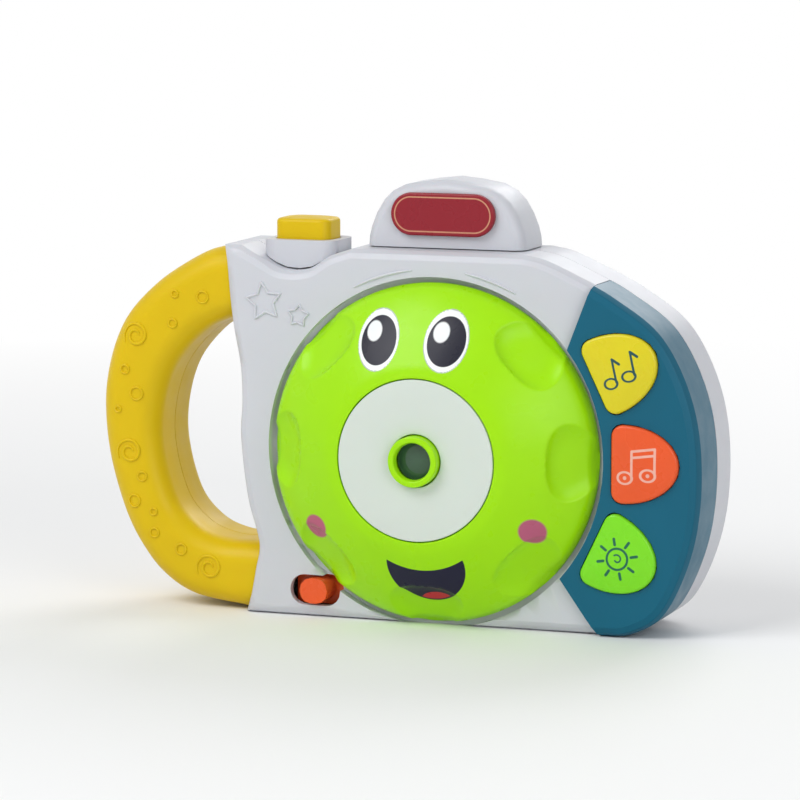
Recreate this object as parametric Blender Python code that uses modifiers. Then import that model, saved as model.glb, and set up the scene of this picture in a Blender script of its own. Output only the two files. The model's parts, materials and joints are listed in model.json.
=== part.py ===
"""Toy camera projector: a rounded camera body with a C-shaped handle, a turning head that holds the picture disc
and the projection lens, a crescent button panel, and the lamp, boards, speaker and batteries inside.

Metres, +Z up, -Y is the front. The origin is at the bottom centre of the whole toy. Flat outlines are written as
(x, z) pairs counted from the head's axis. Run with: blender --background --python part.py
"""

import math

import bmesh
import bpy
import numpy as np
from mathutils import Matrix, Vector

# General clearances and walls
GAP = 0.0003            # between pieces that rest on or fit in each other
WALL = 0.0020           # shell walls
SLIDE_GAP = 0.0004      # round pieces that slide or turn in a hole

# Head axis, the centre that the body, the panel and the disc are laid out from
HEAD_X = 0.0115
HEAD_Z = 0.0446

# Body, front to rear
BODY_FRONT = -0.0065
BODY_REAR = 0.0235
SEAM_Y = 0.0085         # where the front and rear shells meet
BODY_ROUND = 0.0025     # edge rounding of the body
SHOULDER_HEIGHT = 0.0516   # level top of the body above the head axis
SCOOP_DROP = 0.0062     # depth of the dip under the shutter seat
SCOOP_X = -0.0385       # middle of that dip
SCOOP_HALF = 0.0035     # half of its level part
SCOOP_RIGHT = -0.0290   # where the body's top bends down into it
SCOOP_LEFT = -0.0480
BODY_MARGIN = 0.0053    # body outside the buttons' round sides, at its widest
BODY_LEFT = 0.0582      # top left corner of the body left of the head axis
BODY_FOOT = 0.0525      # bottom left corner
BASE_RIGHT = 0.0447     # where the level base ends on the right
CORNER_RUN = 0.0045     # straight edge kept next to a sharp corner of the body
CORNER_LEAN = 0.0012    # how far the edge next to a corner leans over that run
SHOULDER_RUN = 0.0015   # level top beside the viewfinder housing
SHOULDER_FALL = (0.0290, -0.0012)   # first point of the slope right of it: x, and height from the top
# The right side from the base up: x from the widest point, and height from the head axis
BODY_SIDE_CURVE = (
    (-0.0180, -0.0437), (-0.0090, -0.0375), (-0.0020, -0.0210), (0.0, -0.0020), (-0.0025, 0.0160),
    (-0.0105, 0.0320), (-0.0230, 0.0415), (-0.0340, 0.0470),
)
# The left side from the top down, behind the handle
BODY_LEFT_CURVE = (
    (-0.0568, 0.0380), (-0.0558, 0.0300), (-0.0540, 0.0200), (-0.0536, 0.0107), (-0.0540, 0.0013),
    (-0.0522, -0.0140), (-0.0490, -0.0261), (-0.0500, -0.0330),
)

# Head cover
HEAD_R = 0.0438
HEAD_DEPTH = 0.0170
HEAD_CLEARANCE = 0.0015  # between the cover's rim and the recess wall
RECESS_DEPTH = 0.0029
RECESS_WALL = 0.0016
RIM_GAP = 0.0004        # between the cover's rear rim and the recess floor
SCALLOPS = 8
SCALLOP_DEPTH = 0.0020
SCALLOP_LENGTH = 0.0200
SCALLOP_WIDTH = 0.0120
FACE_PLATE_R = 0.0207
FACE_PLATE_T = 0.0015
PLATE_LIP = 0.0005
SKIRT_WALL = 0.0018
SKIRT_STEP = 0.0044     # depth at which the inner wall meets the skirt
DOME_SPAN = 0.0223      # radial reach that the dome's rise is written for
DOME_RISE = (
    (0.0, 0.0), (0.0030, 0.0008), (0.0080, 0.0032), (0.0130, 0.0060), (0.0175, 0.0091), (0.0210, 0.0122),
)
RIM_DEPTH = 0.0150      # depth at which the dome reaches its full radius

# Picture disc
DISC_R = 0.0360
DISC_FLANGE_T = 0.0018
DISC_COLLAR_R = 0.0270
DISC_COLLAR_HEIGHT = 0.0021
DISC_DOME_R = 0.0170
DISC_HEIGHT = 0.0061    # window face above the flange's rear
DISC_FACE_T = 0.0015
DISC_FLOOR_GAP = 0.0005
WINDOWS = 8
WINDOW_RING_R = 0.0120
WINDOW_R = 0.0030
HUB_WALL = 0.0017
LUGS = 4
LUG_WIDTH = 0.0050
LUG_REACH = 0.0040
LUG_HEIGHT = 0.0029
DIMPLE_RING_R = 0.0325
DIMPLE_R = 0.0012
FILM_T = 0.0004
FILM_MARGIN = 0.0012

# Projection optics
CORE_R = 0.0022
CORE_KEY = 0.0030
CORE_END_Y = 0.0070
SOCKET_WALL = 0.0025
PRISM = 0.0050
LENS_PROUD = 0.0025     # lens ring in front of the face plate
LENS_RING_R = 0.0065
LENS_SIGHT_R = 0.0046
LENS_SEAT_R = 0.0053
LENS_LIP = 0.0023
LENS_T = 0.0028
RETAINER_T = 0.0015
RETAINER_BORE = 0.0036
BARREL_FLANGE_R = 0.0090
BARREL_FLANGE_T = 0.0010
LAMP_TUBE_R = 0.0042
LAMP_BORE = 0.0033
LED_R = 0.0025
CONDENSER_T = 0.0025
LAMP_FLANGE_R = 0.0065
LAMP_FLANGE_T = 0.0015
LAMP_REAR_Y = 0.0060

# Control panel and its buttons
PANEL_T = 0.0018
PANEL_TOP_ANGLE = 38.4
PANEL_BOTTOM_ANGLE = -41.6
# Corners of the crescent outside its inner arc, from the top down, as shares of the recess's radius
PANEL_TIP = (0.850, 0.762)
PANEL_TOP = (0.993, 1.148)
PANEL_REACH = 2.0
PANEL_BASE = (1.104, -1.148)
PANEL_TOE = (0.910, -0.883)
BUTTON_MARGIN = 0.0029  # between the head's recess and a button's flat side
BUTTON_CORNER = 0.0030
BUTTON_DEPTH = 0.0175   # from the flat side to the round side
BUTTON_HALF = 0.0100    # half length along the panel
BUTTON_STEP = 25.5      # degrees between buttons
BUTTON_PROUD = 0.0018
BUTTON_TRAVEL = 0.0015
BUTTON_LIP = 0.0009
BUTTON_LIP_T = 0.0010
BUTTON_T = 0.0016
BOARD_T = 0.0016
CONTROL_BOARD_Y = 0.0020
CONTROL_BOARD_MARGIN = 0.0004   # its inner edge inside the buttons' flat sides
CONTROL_BOARD_WIDTH = 0.0174
CONTROL_BOARD_ANGLE = 30.0

# Springs
WIRE_R = 0.00022
BUTTON_SPRING_R = 0.0026
SHUTTER_SPRING_R = 0.0036
SPRING_TURNS = 3

# Viewfinder housing and its plate
HUMP_HALF = 0.0215
HUMP_RISE = 0.0178      # its top above the body's
HUMP_FRONT = 0.0015
HUMP_REAR = 0.0195
HUMP_ROUND = 0.0030
HUMP_SIDE = ((-0.0008, 0.0050), (-0.0042, 0.0118))  # its side: x from its half width, height from its base
HUMP_SHOULDER = (-0.0100, -0.0016)                  # x from its half width, height from its top
RIB_HALF = 0.0165
RIB_T = 0.0020
FOOT_HALF = 0.0120
FOOT_T = 0.0018
FOOT_REACH = 0.0020
BADGE_WIDTH = 0.0280
BADGE_HEIGHT = 0.0110
BADGE_T = 0.0014
BADGE_RISE = 0.0090     # its middle above the body's top

# Shutter button and seat
SHUTTER_X = -0.0390
SHUTTER_Y = 0.0065
SEAT_WIDTH = 0.0200
SEAT_DEPTH = 0.0160
SEAT_CORNER = 0.0035
SEAT_RISE = 0.0076      # heights above the bottom of the dip
SHUTTER_RISE = 0.0134
POCKET_RISE = 0.0030
STEM_DROP = 0.0071      # the stem's end below the bottom of the dip
SHUTTER_WIDTH = 0.0150
SHUTTER_LENGTH = 0.0110
SHUTTER_CORNER = 0.0026
SHUTTER_TRAVEL = 0.0025
SHUTTER_WALL = 0.0014
SHUTTER_CLEARANCE = 0.0004
STEM_R = 0.0018

# Handle
HANDLE_FRONT = -0.0050
HANDLE_REAR = 0.0225
HANDLE_ROUND = 0.0060
HANDLE_REACH = 0.0940   # its outermost point left of the head axis
HANDLE_TOP_END_X = -0.0510     # where its upper end stops, inside the body, before it is trimmed
HANDLE_BOTTOM_END_X = -0.0400  # and its lower end
TONGUE_Y = 0.0030       # half depth of the tongues that key it to the body
TONGUE_Z = 0.0028
TONGUE_LENGTH = 0.0080
TOP_TONGUE = (-0.0560, 0.0425)
BOTTOM_TONGUE = (-0.0505, -0.0315)
OUTER_ROOT_X = 0.0570   # where its outer curve starts in the body, left of the head axis
# Its outer curve from the top down: share of the way from there to its outermost point, and height
HANDLE_OUTER_CURVE = (
    (0.0, 0.0510), (0.176, 0.0498), (0.378, 0.0460), (0.595, 0.0405), (0.797, 0.0330), (0.914, 0.0250),
    (0.986, 0.0150), (1.0, 0.0050), (0.959, -0.0070), (0.849, -0.0203), (0.716, -0.0295), (0.541, -0.0369),
    (0.297, -0.0418), (-0.097, -0.0440),
)
GRIP = 0.0160           # width of the handle at the hole's deepest point
FINGER_ROOT_X = 0.0520  # where the hole's curve starts in the body, left of the head axis
# The finger hole from the bottom up: share of the way from there to its deepest point, and height
FINGER_CURVE = (
    (0.0, -0.0265), (0.308, -0.0262), (0.615, -0.0230), (0.865, -0.0150), (1.0, 0.0009),
    (0.885, 0.0165), (0.577, 0.0270), (0.250, 0.0318), (0.0, 0.0325),
)
HANDLE_TOP_END_Z = 0.0480

# Power switch
SLOT_X = -0.0325
SLOT_Z = -0.0375
SLOT_LENGTH = 0.0138
SLOT_HEIGHT = 0.0080
KNOB_LENGTH = 0.0075
KNOB_HEIGHT = 0.0066
KNOB_CORNER = 0.0030
KNOB_PROUD = 0.0016
KNOB_TRAVEL = 0.0025    # each way from the middle position
SLIDER_LENGTH = 0.0136
SLIDER_T = 0.0010
SWITCH_SIZE = (0.0150, 0.0040, 0.0100)

# Battery bay, cells and door
CELL_R = 0.00725
CELL_LENGTH = 0.0505
CELL_NUB_R = 0.0027
CELL_NUB_LENGTH = 0.0010
CELL_GAP = 0.0005
CONTACT_SPACE = 0.0032
BAY_X = -0.0055         # middle of the bay from the head axis
BAY_BOTTOM = 0.0032     # above the table
BAY_WALL = 0.0015
DOOR_T = 0.0022
DOOR_LEDGE = 0.0010
DOOR_TAB = 0.0070       # height of the door above the bay, for its screw
DOOR_RIM = 0.0011       # door left above the screw's counterbore
DOOR_CORNER = 0.0030
CONTACT_T = 0.0004
CONTACT_SIZE = 0.0090
CONTACT_COIL_R = 0.0034

# Boards, switch and speaker
MAIN_BOARD_Y = 0.0089
MAIN_BOARD_LEFT = -0.0460
MAIN_BOARD_RIGHT = 0.0140
MAIN_BOARD_BOTTOM = 0.0010
MAIN_BOARD_TOP = 0.0340
BOARD_CORNER = 0.0010
TACT_WIDTH = 0.0060
TACT_DEPTH = 0.0037
TACT_HEIGHT = 0.0060
TACT_PLUNGER_R = 0.0012
SPEAKER_X = 0.0320
SPEAKER_Z = 0.0165
SPEAKER_R = 0.0140
SPEAKER_DEPTH = 0.0085
SPEAKER_RIM_T = 0.0015
MAGNET_R = 0.0080
GRILLE_HOLE_R = 0.0011
GRILLE_STEP = 0.0045

# Screws and their bosses
SCREW_R = 0.0013
SCREW_HEAD_R = 0.0028
SCREW_HEAD_T = 0.0018
SCREW_LENGTH = 0.0110
BOSS_R = 0.0032
WELL_R = 0.0031
WELL_FLOOR_Y = 0.0120
WELL_WALL = 0.0011
BOARD_SCREW_HEAD_R = 0.0021
BOARD_SCREW_HEAD_T = 0.0012
BOARD_SCREW_LENGTH = 0.0050
BOARD_BOSS_R = 0.0024
DOOR_HEAD_T = 0.0009
DOOR_SCREW_LENGTH = 0.0080
HOUSING_SCREWS = ((-0.0478, 0.0385), (-0.0465, -0.0383), (0.0460, -0.0393), (0.0400, 0.0360))
HANDLE_SCREW_PLACES = ((0.0250, 0.0370), (0.0205, -0.0300))     # x from the handle's outermost point
MAIN_BOARD_SCREWS = ((-0.0410, 0.0070), (0.0095, 0.0300))

# Detent spring under the disc's rim
DETENT_ANGLE = 180.0
DETENT_WIDTH = 0.0040
DETENT_T = 0.0005
DETENT_HALF = 0.0080
DETENT_NOSE = 0.0012
DETENT_SCREW_HEAD_T = 0.0010

# Leads
LEAD_R = 0.0006
# Routes as steps from each lead's start
SPEAKER_ROUTE = ((0.0, 0.0, 0.0), (-0.0060, -0.0003, 0.0010), (-0.0140, -0.0006, 0.0040))
SPEAKER_LANDING = ((-0.0030, 0.0003, 0.0020), (-0.0080, 0.0, 0.0))      # from the main board's edge
BATTERY_ROUTE = ((0.0, 0.0020, 0.0), (-0.0100, 0.0040, 0.0004))
BATTERY_LANDING = ((-0.0200, 0.0010, 0.0030), (-0.0240, 0.0, 0.0080), (-0.0250, 0.0, 0.0120))
LAMP_ROUTE = ((0.0, 0.0, 0.0), (-0.0030, 0.0003, 0.0010))
LAMP_LANDING = ((-0.0080, -0.0004, 0.0030), (-0.0130, 0.0, 0.0030), (-0.0170, 0.0, 0.0020))
BATTERY_LEAD_INSET = 0.0040     # its start from the end of the bay

# Places that follow from the sizes above
SCOOP_HEIGHT = SHOULDER_HEIGHT - SCOOP_DROP
HUMP_HEIGHT = SHOULDER_HEIGHT + HUMP_RISE
BADGE_Z = SHOULDER_HEIGHT + BADGE_RISE
SEAT_TOP = SCOOP_HEIGHT + SEAT_RISE
SHUTTER_TOP = SCOOP_HEIGHT + SHUTTER_RISE
POCKET_FLOOR = SCOOP_HEIGHT + POCKET_RISE
STEM_END = SCOOP_HEIGHT - STEM_DROP
RECESS_R = HEAD_R + HEAD_CLEARANCE
BUTTON_INNER = RECESS_R + BUTTON_MARGIN     # flat side of a button from the head axis
BODY_SIDE = BUTTON_INNER + BUTTON_DEPTH + BODY_MARGIN   # widest point of the body right of the head axis
CONTROL_BOARD_INNER = BUTTON_INNER - CONTROL_BOARD_MARGIN
CONTROL_BOARD_OUTER = CONTROL_BOARD_INNER + CONTROL_BOARD_WIDTH
HANDLE_SCREWS = [(x - HANDLE_REACH, z) for x, z in HANDLE_SCREW_PLACES]
FLOOR_Y = BODY_FRONT + RECESS_DEPTH
HEAD_BACK = FLOOR_Y - RIM_GAP
HEAD_FRONT = HEAD_BACK - HEAD_DEPTH
PLATE_SEAT_Y = HEAD_FRONT + FACE_PLATE_T + GAP
COVER_REAR_Y = PLATE_SEAT_Y + WALL
LENS_FRONT = HEAD_FRONT - LENS_PROUD
FLANGE_REAR = FLOOR_Y - DISC_FLOOR_GAP
FLANGE_FRONT = FLANGE_REAR - DISC_FLANGE_T
DISC_FACE_Y = FLANGE_REAR - DISC_HEIGHT
FILM_Y = DISC_FACE_Y + DISC_FACE_T + GAP
CORE_BORE = CORE_R + GAP
HUB_R = CORE_BORE + HUB_WALL
PRISM_REAR = DISC_FACE_Y - GAP
PRISM_FRONT = PRISM_REAR - PRISM
SKIRT_INNER = DISC_COLLAR_R + GAP
SKIRT_OUTER = SKIRT_INNER + SKIRT_WALL
PANEL_FRONT = BODY_FRONT - GAP - PANEL_T
INNER_FRONT = BODY_FRONT + WALL
INNER_REAR = BODY_REAR - WALL
FLOOR_REAR = FLOOR_Y + WALL
BAY_HALF = CELL_LENGTH / 2 + CONTACT_SPACE
BAY_TOP = BAY_BOTTOM + 4 * CELL_R + 3 * CELL_GAP
DOOR_INNER = BODY_REAR - DOOR_T
LEDGE_Y = DOOR_INNER - GAP
CELL_Y = LEDGE_Y - GAP - CELL_R
BAY_FRONT = CELL_Y - CELL_R - GAP

COLOURS = {
    "lime": (0.35, 0.75, 0.0, 1.0), "yellow": (0.75, 0.47, 0.01, 1.0), "white": (0.62, 0.64, 0.70, 1.0),
    "teal": (0.01, 0.14, 0.24, 1.0), "orange": (0.76, 0.09, 0.02, 1.0), "red": (0.30, 0.02, 0.03, 1.0),
    "black": (0.02, 0.02, 0.02, 1.0), "steel": (0.60, 0.60, 0.62, 1.0), "glass": (0.05, 0.09, 0.07, 1.0),
    "board": (0.03, 0.20, 0.08, 1.0), "copper": (0.55, 0.25, 0.08, 1.0), "button_yellow": (0.69, 0.58, 0.01, 1.0),
    "button_green": (0.19, 0.67, 0.01, 1.0), "plate_white": (0.80, 0.82, 0.80, 1.0),
    "film": (0.03, 0.05, 0.10, 1.0), "blue": (0.02, 0.20, 0.60, 1.0),
}
METALS = ("steel", "copper")

parts = None
helpers = None


def clear_scene():
    """Removes what the startup file holds and makes the two collections."""
    global parts, helpers
    for obj in list(bpy.data.objects):
        bpy.data.objects.remove(obj)
    parts = bpy.data.collections.new("toy_camera_projector")
    helpers = bpy.data.collections.new("cutters")
    for group in (parts, helpers):
        bpy.context.scene.collection.children.link(group)
    helpers.hide_render = True


def material(colour):
    """The Principled material of a colour, made once."""
    made = bpy.data.materials.get(colour)
    if made:
        return made
    made = bpy.data.materials.new(colour)
    made.use_nodes = True
    shader = made.node_tree.nodes["Principled BSDF"]
    shader.inputs["Base Color"].default_value = COLOURS[colour]
    shader.inputs["Roughness"].default_value = 0.3
    shader.inputs["Metallic"].default_value = 1.0 if colour in METALS else 0.0
    return made


def on_axis(x, z):
    """World x and z of a point that is counted from the head axis."""
    return HEAD_X + x, HEAD_Z + z


def add_object(name, data, colour, location=(0, 0, 0)):
    """Links a mesh or curve as a part, or as a helper when it has no colour."""
    obj = bpy.data.objects.new(name, data)
    obj.location = location
    if colour:
        data.materials.append(material(colour))
        parts.objects.link(obj)
    else:
        obj.hide_render = True
        obj.display_type = "WIRE"
        helpers.objects.link(obj)
    return obj


def mesh_object(name, bm, colour, location=(0, 0, 0), smooth=True, closed=True):
    """Turns a bmesh into an object, its round faces shaded smooth.

    Its faces are turned outwards unless it is open or hollow, where that would turn an inner wall round.
    """
    if closed:
        bmesh.ops.recalc_face_normals(bm, faces=bm.faces)
    mesh = bpy.data.meshes.new(name)
    bm.to_mesh(mesh)
    bm.free()
    if smooth:
        mesh.shade_smooth()
        mesh.set_sharp_from_angle(angle=math.radians(35))
    return add_object(name, mesh, colour, location)


def block(name, low, high, colour=None):
    """A box between two corners."""
    low, high = Vector(low), Vector(high)
    bm = bmesh.new()
    size = high - low
    bmesh.ops.create_cube(bm, size=1.0, matrix=Matrix.Diagonal((*size, 1.0)))
    return mesh_object(name, bm, colour, (low + high) / 2, smooth=False)


def rod(name, x, z, radius, front, rear, colour=None, sides=10, end_radius=None):
    """A cylinder or cone along Y between two depths; end_radius is its radius at the rear."""
    bm = bmesh.new()
    turn = Matrix.Rotation(math.radians(-90), 4, "X")
    bmesh.ops.create_cone(
        bm, cap_ends=True, segments=sides, radius1=radius,
        radius2=radius if end_radius is None else end_radius, depth=rear - front, matrix=turn,
    )
    return mesh_object(name, bm, colour, (x, (front + rear) / 2, z))


def upright_rod(name, x, y, radius, bottom, top, colour=None, sides=16):
    """A cylinder along Z between two heights."""
    bm = bmesh.new()
    bmesh.ops.create_cone(bm, cap_ends=True, segments=sides, radius1=radius, radius2=radius, depth=top - bottom)
    return mesh_object(name, bm, colour, (x, y, (bottom + top) / 2))


def turned(name, profile, x, z, colour=None, steps=32, axis="Y"):
    """A profile of (radius, depth) points turned about an axis along Y, or along X when asked.

    The points run down the outer side from front to rear. A profile whose ends lie off the axis is a closed loop.
    """
    mesh = bpy.data.meshes.new(name)
    count = len(profile)
    closed = profile[0][0] > 0 and profile[-1][0] > 0
    edges = [(i, i + 1) for i in range(count - 1)] + ([(count - 1, 0)] if closed else [])
    mesh.from_pydata([(radius, 0, -depth) for radius, depth in profile], edges, [])
    obj = add_object(name, mesh, colour, (x, 0, z))
    obj.rotation_euler = (math.radians(90), 0, 0) if axis == "Y" else (0, math.radians(-90), 0)
    screw = obj.modifiers.new("turn", "SCREW")
    screw.axis = "Z"
    screw.steps = screw.render_steps = steps
    screw.use_merge_vertices = True
    screw.merge_threshold = 0.00001
    screw.use_smooth_shade = True
    return obj


def evaluated_mesh(obj):
    """A mesh copy of the object with its modifiers applied, in the object's own space."""
    bpy.context.view_layer.update()
    graph = bpy.context.evaluated_depsgraph_get()
    return bpy.data.meshes.new_from_object(obj.evaluated_get(graph))


def frozen(obj, weld=0.0000001):
    """Replaces a curve or a modified mesh by the plain mesh that it evaluates to."""
    mesh = evaluated_mesh(obj)
    bm = bmesh.new()
    bm.from_mesh(mesh)
    bmesh.ops.remove_doubles(bm, verts=bm.verts, dist=weld)
    bmesh.ops.recalc_face_normals(bm, faces=bm.faces)
    bm.to_mesh(mesh)
    bm.free()
    name, place = obj.name, obj.matrix_world.copy()
    group = obj.users_collection[0]
    colour = obj.data.materials[0] if obj.data.materials else None
    bpy.data.objects.remove(obj)
    made = bpy.data.objects.new(name, mesh)
    made.matrix_world = place
    if colour and not mesh.materials:
        mesh.materials.append(colour)
    if group is helpers:
        made.hide_render = True
        made.display_type = "WIRE"
    group.objects.link(made)
    return made


def plate(name, outline, front, rear, colour=None, holes=(), rounding=0.0, across="Y"):
    """A flat outline of (x, z) points, counted from the head axis, with its thickness along Y.

    With across="X" the points are (y, z) and the thickness runs along X. rounding rounds both rims.
    """
    curve = bpy.data.curves.new(name, "CURVE")
    curve.dimensions = "2D"
    curve.fill_mode = "BOTH"
    curve.extrude = (rear - front) / 2 - rounding
    if rounding:
        curve.bevel_depth = rounding
        curve.bevel_resolution = 1
        curve.offset = -rounding
    for points in (outline, *holes):
        spline = curve.splines.new("POLY")
        spline.points.add(len(points) - 1)
        spline.points.foreach_set("co", [value for px, pz in points for value in (px, pz, 0, 1)])
        spline.use_cyclic_u = True
    obj = add_object(name, curve, colour)
    middle = (front + rear) / 2
    if across == "Y":
        obj.matrix_world = Matrix.Translation((HEAD_X, middle, HEAD_Z)) @ Matrix.Rotation(math.radians(90), 4, "X")
    else:
        turn = Matrix(((0, 0, 1, 0), (1, 0, 0, 0), (0, 1, 0, 0), (0, 0, 0, 1)))
        obj.matrix_world = Matrix.Translation((middle, 0, HEAD_Z)) @ turn
    return frozen(obj)


def boolean(target, operation, tools, solver="EXACT"):
    """Cuts tools out of a part, or joins them to it, one after the other."""
    for tool in tools:
        modifier = target.modifiers.new(f"{operation.lower()}_{tool.name}", "BOOLEAN")
        modifier.operation = operation
        modifier.solver = solver
        modifier.object = tool
    return target


def cut(target, *tools, solver="EXACT"):
    """Takes the tools' shapes out of the target."""
    return boolean(target, "DIFFERENCE", tools, solver)


def fuse(target, *tools, solver="EXACT"):
    """Joins the tools' shapes to the target."""
    return boolean(target, "UNION", tools, solver)


def smooth(points, step=2):
    """Points on a Catmull-Rom curve through the given ones, both ends included."""
    points = np.array(points, float)
    ends = np.vstack([2 * points[0] - points[1], points, 2 * points[-1] - points[-2]])
    found = []
    for i in range(len(points) - 1):
        p0, p1, p2, p3 = ends[i:i + 4]
        for t in np.arange(step) / step:
            found.append(
                0.5 * (2 * p1 + (p2 - p0) * t + (2 * p0 - 5 * p1 + 4 * p2 - p3) * t**2
                       + (3 * p1 - p0 - 3 * p2 + p3) * t**3)
            )
    return [tuple(float(v) for v in point) for point in (*found, points[-1])]


def arc(centre, radius, start, end, count):
    """Points on a circle between two angles in degrees, both ends included."""
    return [
        (centre[0] + radius * math.cos(math.radians(a)), centre[1] + radius * math.sin(math.radians(a)))
        for a in np.linspace(start, end, count)
    ]


def rounded_box(width, height, radius, centre=(0, 0), corner=4):
    """The outline of a rectangle with round corners."""
    x, z = width / 2 - radius, height / 2 - radius
    found = []
    for sx, sz, start in ((1, 1, 0), (-1, 1, 90), (-1, -1, 180), (1, -1, 270)):
        found += arc((centre[0] + sx * x, centre[1] + sz * z), radius, start, start + 90, corner)
    return found


def inset(outline, distance):
    """The outline moved inwards by a distance, or outwards by a negative one.

    Points that end nearer the outline than that distance, as next to a corner, are left out.
    """
    points = np.array(outline, float)
    following = np.roll(points, -1, axis=0)
    before = points - np.roll(points, 1, axis=0)
    after = following - points
    lengths = np.linalg.norm(after, axis=1)
    before /= np.linalg.norm(before, axis=1)[:, None]
    after /= lengths[:, None]
    left = np.stack([-before[:, 1] - after[:, 1], before[:, 0] + after[:, 0]], axis=1)
    left /= np.linalg.norm(left, axis=1)[:, None]
    stretch = np.clip(left[:, 0] * -after[:, 1] + left[:, 1] * after[:, 0], 0.4, 1.0)
    x, z = points[:, 0], points[:, 1]
    sign = 1 if np.sum(x * np.roll(z, -1) - z * np.roll(x, -1)) > 0 else -1
    moved = points + sign * distance * left / stretch[:, None]
    from_start = moved[:, None, :] - points[None, :, :]
    along = np.clip(np.sum(from_start * after[None], axis=2), 0, lengths[None])
    away = np.linalg.norm(from_start - along[:, :, None] * after[None], axis=2).min(axis=1)
    return [tuple(p) for p, d in zip(moved, away) if d > abs(distance) * 0.98]


def body_outline():
    """The camera body from the front, anticlockwise from its bottom right."""
    base = -HEAD_Z
    shoulder_x, shoulder_drop = SHOULDER_FALL
    right = smooth(
        [(BASE_RIGHT, base)] + [(BODY_SIDE + x, z) for x, z in BODY_SIDE_CURVE]
        + [(shoulder_x, SHOULDER_HEIGHT + shoulder_drop), (HUMP_HALF + SHOULDER_RUN, SHOULDER_HEIGHT)]
    )
    scoop = smooth(
        [
            (-HUMP_HALF - SHOULDER_RUN, SHOULDER_HEIGHT), (SCOOP_RIGHT, SHOULDER_HEIGHT - SCOOP_DROP / 3),
            (SCOOP_X + SCOOP_HALF, SCOOP_HEIGHT + SCOOP_DROP / 10),
            (SCOOP_X - SCOOP_HALF, SCOOP_HEIGHT + SCOOP_DROP / 20),
            (SCOOP_LEFT, SHOULDER_HEIGHT - SCOOP_DROP / 2), (-BODY_LEFT + CORNER_RUN, SHOULDER_HEIGHT),
        ]
    )
    left = smooth(
        [(-BODY_LEFT + CORNER_LEAN / 2, SHOULDER_HEIGHT - CORNER_RUN)] + list(BODY_LEFT_CURVE)
        + [(-BODY_FOOT + CORNER_LEAN, base + CORNER_RUN)]
    )
    return right + scoop + [(-BODY_LEFT, SHOULDER_HEIGHT)] + left + [(-BODY_FOOT, base)]


def handle_outline():
    """The handle from the front: its outer curve, then the curve of the finger hole. Both ends lie in the body."""
    outer_depth, hole_depth = HANDLE_REACH - OUTER_ROOT_X, HANDLE_REACH - GRIP - FINGER_ROOT_X
    outer = smooth([(-OUTER_ROOT_X - share * outer_depth, z) for share, z in HANDLE_OUTER_CURVE])
    hole = smooth([(-FINGER_ROOT_X - share * hole_depth, z) for share, z in FINGER_CURVE])
    lower_end = [(HANDLE_BOTTOM_END_X, HANDLE_OUTER_CURVE[-1][1]), (HANDLE_BOTTOM_END_X, FINGER_CURVE[0][1])]
    top_end = [(HANDLE_TOP_END_X, FINGER_CURVE[-1][1]), (HANDLE_TOP_END_X, HANDLE_TOP_END_Z)]
    return outer + lower_end + hole + top_end


def panel_zone(margin):
    """The crescent that the panel covers, larger than the body where it reaches the body's edge.

    margin draws its inner arc and its two ends back.
    """
    shift = math.degrees(margin / RECESS_R)
    inner = arc((0, 0), RECESS_R + GAP + margin, PANEL_BOTTOM_ANGLE + shift, PANEL_TOP_ANGLE - shift, 17)
    far_top, far_base = (PANEL_REACH, PANEL_TOP[1]), (PANEL_REACH, PANEL_BASE[1])
    corners = (PANEL_TIP, PANEL_TOP, far_top, far_base, PANEL_BASE, PANEL_TOE)
    draws = ((0, -margin), (margin, 0), (0, 0), (0, 0), (margin, 0), (0, margin))
    return inner + [(RECESS_R * x + dx, RECESS_R * z + dz) for (x, z), (dx, dz) in zip(corners, draws)]


def button_outline(angle, grow=0.0, inner_grow=None):
    """A D with its flat side towards the head axis, turned to its place on the panel."""
    inner_grow = grow if inner_grow is None else inner_grow
    half = BUTTON_HALF + grow
    near, far = BUTTON_INNER - inner_grow, BUTTON_INNER + BUTTON_DEPTH + grow
    corner = BUTTON_CORNER
    bulge = far - near - corner
    points = arc((near + corner, half - corner), corner, 90, 180, 4)
    points += arc((near + corner, corner - half), corner, 180, 270, 4)
    points += [
        (near + corner + bulge * math.cos(math.radians(a)), half * math.sin(math.radians(a)))
        for a in np.linspace(-75, 75, 11)
    ]
    turn = math.radians(angle)
    return [
        (x * math.cos(turn) - z * math.sin(turn), x * math.sin(turn) + z * math.cos(turn)) for x, z in points
    ]


def at_angle(radius, angle):
    """A point on a circle about the head axis."""
    return radius * math.cos(math.radians(angle)), radius * math.sin(math.radians(angle))


def half_shell(name, whole, front_half, wall, colour):
    """One half of a rounded solid, split at the seam and hollowed to a wall."""
    bm = bmesh.new()
    bm.from_mesh(evaluated_mesh(whole))
    bmesh.ops.transform(bm, matrix=whole.matrix_world, verts=bm.verts)
    side = -1 if front_half else 1
    bmesh.ops.bisect_plane(
        bm, geom=bm.verts[:] + bm.edges[:] + bm.faces[:], plane_co=(0, SEAM_Y + side * GAP / 2, 0),
        plane_no=(0, -side, 0), clear_outer=True,
    )
    obj = mesh_object(name, bm, colour, closed=False)
    solid = obj.modifiers.new("wall", "SOLIDIFY")
    solid.thickness = wall
    solid.offset = -1
    solid.use_even_offset = True
    solid.use_quality_normals = True
    return frozen(obj)


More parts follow.
